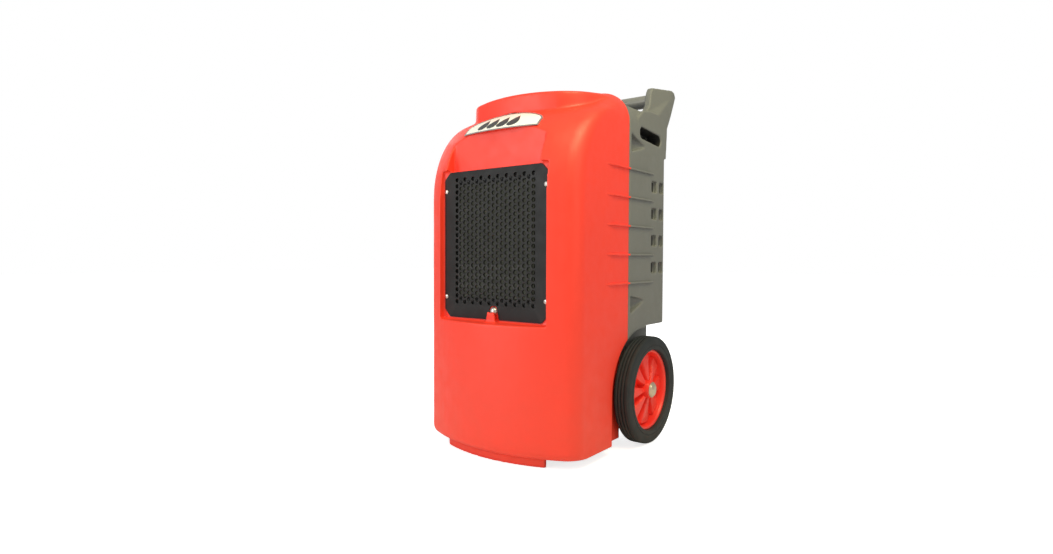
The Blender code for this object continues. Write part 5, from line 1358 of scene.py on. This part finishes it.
def makeCap(name, axis, at):
    foot, dome, step, height = cap["foot"], cap["dome"], cap["step"], cap["height"]
    profile = [(foot, 0.0), (foot, 0.0014), (foot - 0.0006, 0.0022), (foot - 0.0017, 0.0026)]
    profile += [(dome + 0.0006, step - 0.0002)]
    for i in range(10):
        turn = math.radians(9 * i)
        profile.append((dome * math.cos(turn), step + (height - step) * math.sin(turn)))
    profile += [(0.0, height)]
    made = lathe(name, axis, at, [(0.0, 0.0)] + profile, 72)
    return shade(made, 40)


def makeWheels():
    for side, axis, name in ((1, "x", "right"), (-1, "-x", "left")):
        at = (side * wheel["hubX"], wheel["y"], wheel["z"])
        tyreAt = (side * wheel["tyreX"], wheel["y"], wheel["z"])
        body = f"{name}_wheel"
        title = name.capitalize()
        fit(makeTyre("tyre" + title, axis, tyreAt), body, paint["rubber"], "rubber", f"tyre_{name}")
        fit(makeHub("hub" + title, axis, at), body, paint["hubRed"], "hub_red", f"wheel_hub_{name}")
        capAt = (side * (wheel["hubX"] + hub["outer"] + 0.0003), wheel["y"], wheel["z"])
        fit(makeCap("cap" + title, axis, capAt), "machine", paint["capBeige"], "cap_beige",
            f"hub_cap_{name}")
    print("wheels turned")


makeWheels()


def makeBar():
    b = bar
    profile = [(0.0, -b["half"]), (b["radius"] - 0.001, -b["half"]), (b["radius"], -b["half"] + 0.001)]
    profile += [(b["radius"], -b["half"] + 0.02 * i) for i in range(1, 22)]
    profile += [(b["radius"], b["half"] - 0.001), (b["radius"] - 0.001, b["half"]), (0.0, b["half"])]
    made = shade(lathe("handleBar", "x", (0, b["y"], b["z"]), profile, 64), 40)
    fit(made, "machine", paint["tubeGrey"], "tube_grey", "handle_bar")
    print("handle bar in place")


makeBar()


# places on the control panel as (x, z), and the height of its face
board = {
    "face": 0.2003, "switch": (-0.095, 0.8025), "button": (-0.095, 0.7325), "knob": (0.0, 0.7575),
    "meter": (0.090, 0.8075), "inlet": (0.090, 0.7325), "lamp": (0.0, 0.8275),
}


def textPiece(name, words, at, size, material, deep):
    # numerals only; they face the back of the machine
    data = bpy.data.curves.new(name, "FONT")
    data.body = words
    data.size = size
    data.extrude = deep
    data.align_x = "CENTER"
    data.align_y = "CENTER"
    made = place(name, data)
    upright, about = Matrix.Rotation(math.pi / 2, 4, "X"), Matrix.Rotation(math.pi, 4, "Z")
    made.matrix_world = Matrix.Translation(at) @ about @ upright
    bpy.context.view_layer.update()
    graph = bpy.context.evaluated_depsgraph_get()
    mesh = bpy.data.meshes.new_from_object(made.evaluated_get(graph))
    mesh.transform(made.matrix_world)
    bpy.data.objects.remove(made)
    piece = place(name, mesh)
    dress(piece, material)
    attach(piece, "machine")


def makeKnob():
    x, z = board["knob"]
    y = board["face"]
    bm = bmesh.new()
    steps, rings = 144, []
    section = [
        (0.0036, -0.0100), (0.0036, 0.0006), (0.0228, 0.0006), (0.0230, 0.0022), (0.0214, 0.0042),
        (0.0206, 0.0060),
        (0.0203, 0.0120), (0.0199, 0.0170), (0.0190, 0.0190), (0.0170, 0.0200), (0.0120, 0.0203),
    ]
    for radius, out in section:
        ring = []
        for i in range(steps):
            angle = 2 * math.pi * i / steps
            flute = 0.0010 * (0.5 + 0.5 * math.cos(24 * angle)) if 0.005 < out < 0.018 else 0.0
            r = radius - flute
            ring.append(bm.verts.new((x + r * math.cos(angle), y + out, z + r * math.sin(angle))))
        rings.append(ring)
    for here, after in zip(rings, rings[1:]):
        band(bm, here, after)
    bm.faces.new(rings[0])
    bm.faces.new(rings[-1])
    knob = shade(fromBmesh("dialKnob", bm), 45)
    fit(knob, "dial", paint["blackPlastic"], "black_plastic", "humidistat_knob")
    line = boxes("dialLine", [((x - 0.0011, y + 0.0200, z + 0.003), (x + 0.0011, y + 0.0208, z + 0.0165))])
    chamfer(line, 0.0003, 2)
    shade(line)
    fit(line, "dial", paint["whitePrint"], "black_plastic")


def makeDialScale():
    # tick marks and round numbers about the dial, thinly raised
    x, z = board["knob"]
    y = board["face"]
    bm = bmesh.new()
    for step in range(28):
        turn = math.radians(135 - 10 * step)
        long = step % 3 == 0
        inner, outer, half = 0.0255, 0.0295 if long else 0.0278, 0.0004 if long else 0.00025
        up = Vector((math.sin(turn), 0, math.cos(turn)))
        beside = Vector((math.cos(turn), 0, -math.sin(turn)))
        spot = Vector((x, y, z))
        tick = ((inner, -half), (outer, -half), (outer, half), (inner, half))
        flat = [spot + up * a + beside * b for a, b in tick]
        low = [bm.verts.new(p) for p in flat]
        high = [bm.verts.new(p + Vector((0, 0.00015, 0))) for p in flat]
        bm.faces.new(low)
        bm.faces.new(high)
        band(bm, low, high)
    ticks = fromBmesh("dialTicks", bm)
    fit(ticks, "machine", paint["whitePrint"], "coated_steel")
    for step, words in enumerate(("20", "30", "40", "50", "60", "70", "80")):
        turn = math.radians(-135 + 45 * step)
        # seen from the back, a larger number lies further clockwise
        at = (x - 0.0355 * math.sin(turn), y + 0.0001, z + 0.0355 * math.cos(turn))
        textPiece("dialNumber" + words, words, at, 0.0072, paint["whitePrint"], 0.0001)


def makeSwitchAndButton():
    x, z = board["switch"]
    y = board["face"]
    pivot = y - 0.002
    outline = [(pivot - 0.004, z - 0.006), (pivot - 0.004, z + 0.006), (y + 0.0025, z + 0.0135)]
    outline += [(y + 0.0055 - 0.0025 * math.sin(math.pi * i / 16), z + 0.0135 - 0.027 * i / 16)
        for i in range(17)]
    outline += [(y + 0.0025, z - 0.0135)]
    rocker = prism("rockerKey", [outline], "x", x - 0.0085, x + 0.0085)
    chamfer(rocker, 0.0006, 3)
    shade(rocker, 50)
    fit(rocker, "rocker", paint["switchRed"], "switch_red", "power_switch")
    mark = boxes("rockerBar", [((x - 0.0005, y + 0.0040, z + 0.0065),
        (x + 0.0005, y + 0.0052, z + 0.0105))])
    fit(mark, "rocker", paint["whitePrint"], "switch_red")
    ring = lathe("rockerRing", "y", (x, y + 0.0040, z - 0.0085),
        [(0.0021, 0.0), (0.0027, 0.0), (0.0027, 0.0008), (0.0021, 0.0008)], 32, True)
    fit(ring, "rocker", paint["whitePrint"], "switch_red")
    bezel = prism("switchBezel", [roundedRectangle(x - 0.0128, z - 0.0178, x + 0.0128, z + 0.0178, 0.002)],
        "y", y + 0.00005, y + 0.0019)
    cut(bezel, boxes("bezelHole", [((x - 0.0100, y - 0.01, z - 0.0150),
        (x + 0.0100, y + 0.01, z + 0.0150))]))
    shade(chamfer(bezel, 0.0005, 3))
    fit(bezel, "machine", paint["blackPlastic"], "black_plastic")
    x, z = board["button"]
    cap = [(0.0, 0.0064), (0.0050, 0.0066), (0.0080, 0.0072), (0.0094, 0.0074), (0.0104, 0.0068),
        (0.0110, 0.0054),
           (0.0110, -0.0033), (0.0130, -0.0033), (0.0130, -0.0053), (0.0, -0.0053)]
    button = shade(lathe("purgeKey", "y", (x, y, z), cap, 72), 40)
    fit(button, "button", paint["buttonGreen"], "button_green", "purge_button")
    collar = [(0.0117, 0.0001), (0.0150, 0.0001), (0.0150, 0.0016), (0.0140, 0.0024), (0.0117, 0.0024)]
    fit(shade(lathe("buttonCollar", "y", (x, y, z), collar, 72, True), 35), "machine", paint["zinc"],
        "zinc")


def makeMeterLampInlet():
    x, z = board["meter"]
    y = board["face"]
    face = boxes("meterBody", [((x - 0.024, y - 0.025, z - 0.012), (x + 0.024, y + 0.002, z + 0.012))])
    cut(face, boxes("meterGlassHole", [((x - 0.018, y + 0.0006, z - 0.0062),
        (x + 0.018, y + 0.01, z + 0.0062))]))
    shade(chamfer(face, 0.0006, 3))
    fit(face, "machine", paint["blackPlastic"], "black_plastic", "hour_meter")
    tiles = []
    for step in range(6):
        left = x - 0.0168 + 0.0056 * step
        tiles.append(((left, y + 0.0005, z - 0.0048), (left + 0.0052, y + 0.0012, z + 0.0048)))
    drums = boxes("meterDrums", tiles)
    shade(chamfer(drums, 0.0003, 2))
    fit(drums, "machine", paint["whitePrint"], "black_plastic")
    for step, digit in enumerate("004712"):
        at = (x + 0.0142 - 0.0056 * step, y + 0.0013, z)
        textPiece(f"meterDigit{step + 1}", digit, at, 0.0074, paint["blackPlastic"], 0.0001)
    x, z = board["inlet"]
    shroud = boxes("inletBody", [((x - 0.017, y - 0.027, z - 0.014), (x + 0.017, y + 0.003, z + 0.014))])
    mouth = [(x - 0.012, z - 0.009), (x + 0.012, z - 0.009), (x + 0.012, z + 0.004), (x + 0.007, z + 0.009),
             (x - 0.007, z + 0.009), (x - 0.012, z + 0.004)]
    cut(shroud, prism("inletMouth", [mouth], "y", y - 0.015, y + 0.01))
    shade(chamfer(shroud, 0.0006, 3))
    fit(shroud, "machine", paint["blackPlastic"], "black_plastic", "mains_inlet")
    pins = boxes("inletPins", [
        ((x + off - 0.001, y - 0.0155, z + lift - 0.002), (x + off + 0.001, y - 0.004, z + lift + 0.002))
        for off, lift in ((-0.006, -0.003), (0.0, 0.002), (0.006, -0.003))
    ])
    shade(chamfer(pins, 0.0003, 2))
    fit(pins, "machine", paint["zinc"], "zinc")
    x, z = board["lamp"]
    turns = [math.radians(9 * i) for i in range(1, 10)]
    lens = [(0.0, 0.0050)] + [(0.0046 * math.sin(t), 0.0012 + 0.0038 * math.cos(t)) for t in turns]
    lens += [(0.0050, 0.0008), (0.0050, -0.008), (0.0, -0.008)]
    fit(shade(lathe("lampLens", "y", (x, y, z), lens, 48), 40), "machine", paint["lampGreen"], "lamp_green",
        "indicator_lamp")
    ring = [(0.0055, 0.0001), (0.0075, 0.0001), (0.0075, 0.0012), (0.0068, 0.0018), (0.0055, 0.0018)]
    fit(shade(lathe("lampRing", "y", (x, y, z), ring, 48, True), 35), "machine", paint["zinc"], "zinc")
    print("controls fitted")


makeKnob()
makeDialScale()
makeSwitchAndButton()
makeMeterLampInlet()


# solids kept from the frame: (name, width of its softened edges), by finish
kept = {
    "zinc": (("axle", 0.0008), ("hose_outlet", 0.0004)),
    "galvanised": (
        ("axle_spacer_left", 0.0006), ("axle_spacer_right", 0.0006), ("axle_bracket_left", 0.0008),
        ("axle_bracket_right", 0.0008),
        ("base_plate", 0.0012), ("fan_shroud", 0.0006), ("motor_mount", 0.0006), ("electrical_box", 0.0005),
    ),
    "aluminium": (("evaporator_coil", 0.0008), ("condenser_coil", 0.0008)),
    "copper": (("suction_pipe", 0.0), ("discharge_pipe", 0.0)),
    "blackEnamel": (("compressor", 0.0010), ("accumulator", 0.0008), ("fan_motor", 0.0008)),
    "blackPlastic": (("fan_impeller", 0.0004), ("condensate_pump", 0.0), ("drain_tube", 0.0),
        ("outlet_grille", 0.0006)),
    "trayPlastic": (("drip_tray", 0.0006),),
    "coatedSteel": (("control_panel", 0.0007),),
    "rubber": (("compressor_mount_1", 0.0005), ("compressor_mount_2", 0.0005),
        ("compressor_mount_3", 0.0005)),
}
for finishName, nodes in kept.items():
    for nodeName, width in nodes:
        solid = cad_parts[nodeName]
        dress(solid, paint[finishName])
        solid.data.shade_smooth()
        solid.data.set_sharp_from_angle(angle=math.radians(38))
        if width:
            chamfer(solid, width, 2, 38)
print("inner pieces dressed")


room = {"floorSize": 40.0, "world": 0.42, "floor": (0.88, 0.88, 0.875), "glow": 0.75}
lamps = {
    "topSoftbox": {"at": (1.0, -0.7, 2.3), "to": (0.05, 0, 0.8), "size": (1.2, 1.0),
        "power": 24, "tint": (1.0, 0.86, 0.50)},
    "frontSoftbox": {"at": (-1.1, -2.6, 1.3), "to": (0, 0, 0.55), "size": (1.6, 2.0),
        "power": 35, "tint": (1.0, 1.0, 1.0)},
    "sideSoftbox": {"at": (2.6, -0.3, 1.5), "to": (0, 0, 0.6), "size": (1.4, 1.8),
        "power": 9.5, "tint": (1.0, 0.93, 0.66)},
    "backSoftbox": {"at": (-1.35, 2.8, 1.4), "to": (0, 0, 0.6), "size": (1.6, 1.6),
        "power": 24, "tint": (1.0, 0.99, 0.97)},
    "leftSoftbox": {"at": (-2.6, 1.2, 1.4), "to": (0, 0, 0.6), "size": (1.4, 1.6),
        "power": 12, "tint": (1.0, 0.99, 0.97)},
    "shoulderLamp": {"at": (0.80, -0.40, 1.60), "to": (0.18, -0.08, 0.90), "size": (0.5, 0.4),
        "power": 3.2, "tint": (0.95, 1.0, 0.50)},
}


def makeRoom():
    world = bpy.data.worlds.new("studio")
    bpy.context.scene.world = world
    world.use_nodes = True
    tree = world.node_tree
    tree.nodes.clear()
    out = tree.nodes.new("ShaderNodeOutputWorld")
    mix = tree.nodes.new("ShaderNodeMixShader")
    path = tree.nodes.new("ShaderNodeLightPath")
    lit = tree.nodes.new("ShaderNodeBackground")
    seen = tree.nodes.new("ShaderNodeBackground")
    lit.inputs["Color"].default_value = (1, 1, 1, 1)
    lit.inputs["Strength"].default_value = room["world"]
    seen.inputs["Color"].default_value = (1, 1, 1, 1)
    seen.inputs["Strength"].default_value = 1.0
    tree.links.new(path.outputs["Is Camera Ray"], mix.inputs["Fac"])
    tree.links.new(lit.outputs["Background"], mix.inputs[1])
    tree.links.new(seen.outputs["Background"], mix.inputs[2])
    tree.links.new(mix.outputs["Shader"], out.inputs["Surface"])
    bm = bmesh.new()
    bmesh.ops.create_grid(bm, x_segments=8, y_segments=8, size=room["floorSize"] / 2)
    floor = fromBmesh("floor", bm)
    floor.location.z = -0.0005
    look = {"colour": room["floor"], "rough": 0.75, "mottle": 0.01, "mottleScale": 2.0, "grainScale": 60.0}
    pale = surface("paleFloor", {**look, "bump": 0.02})
    floorTree = pale.node_tree
    shader = floorTree.nodes["Principled BSDF"]
    shader.inputs["Emission Color"].default_value = (1, 1, 1, 1)
    seenFloor = floorTree.nodes.new("ShaderNodeLightPath")
    share = floorTree.nodes.new("ShaderNodeMath")  # the pale floor shines towards the eye only
    share.operation = "MULTIPLY"
    share.inputs[1].default_value = room["glow"]
    floorTree.links.new(seenFloor.outputs["Is Camera Ray"], share.inputs[0])
    floorTree.links.new(share.outputs["Value"], shader.inputs["Emission Strength"])
    dress(floor, pale)
    for name, lamp in lamps.items():
        data = bpy.data.lights.new(name, "AREA")
        data.shape = "RECTANGLE"
        data.size, data.size_y = lamp["size"]
        data.energy = lamp["power"]
        data.color = lamp["tint"]
        light = bpy.data.objects.new(name, data)
        light.location = lamp["at"]
        aim = Vector(lamp["to"]) - Vector(lamp["at"])
        light.rotation_euler = aim.to_track_quat("-Z", "Y").to_euler()
        bpy.context.scene.collection.objects.link(light)
    bpy.context.scene.view_settings.view_transform = "Standard"
    print("room lit with", len(lamps), "lamps")


makeRoom()
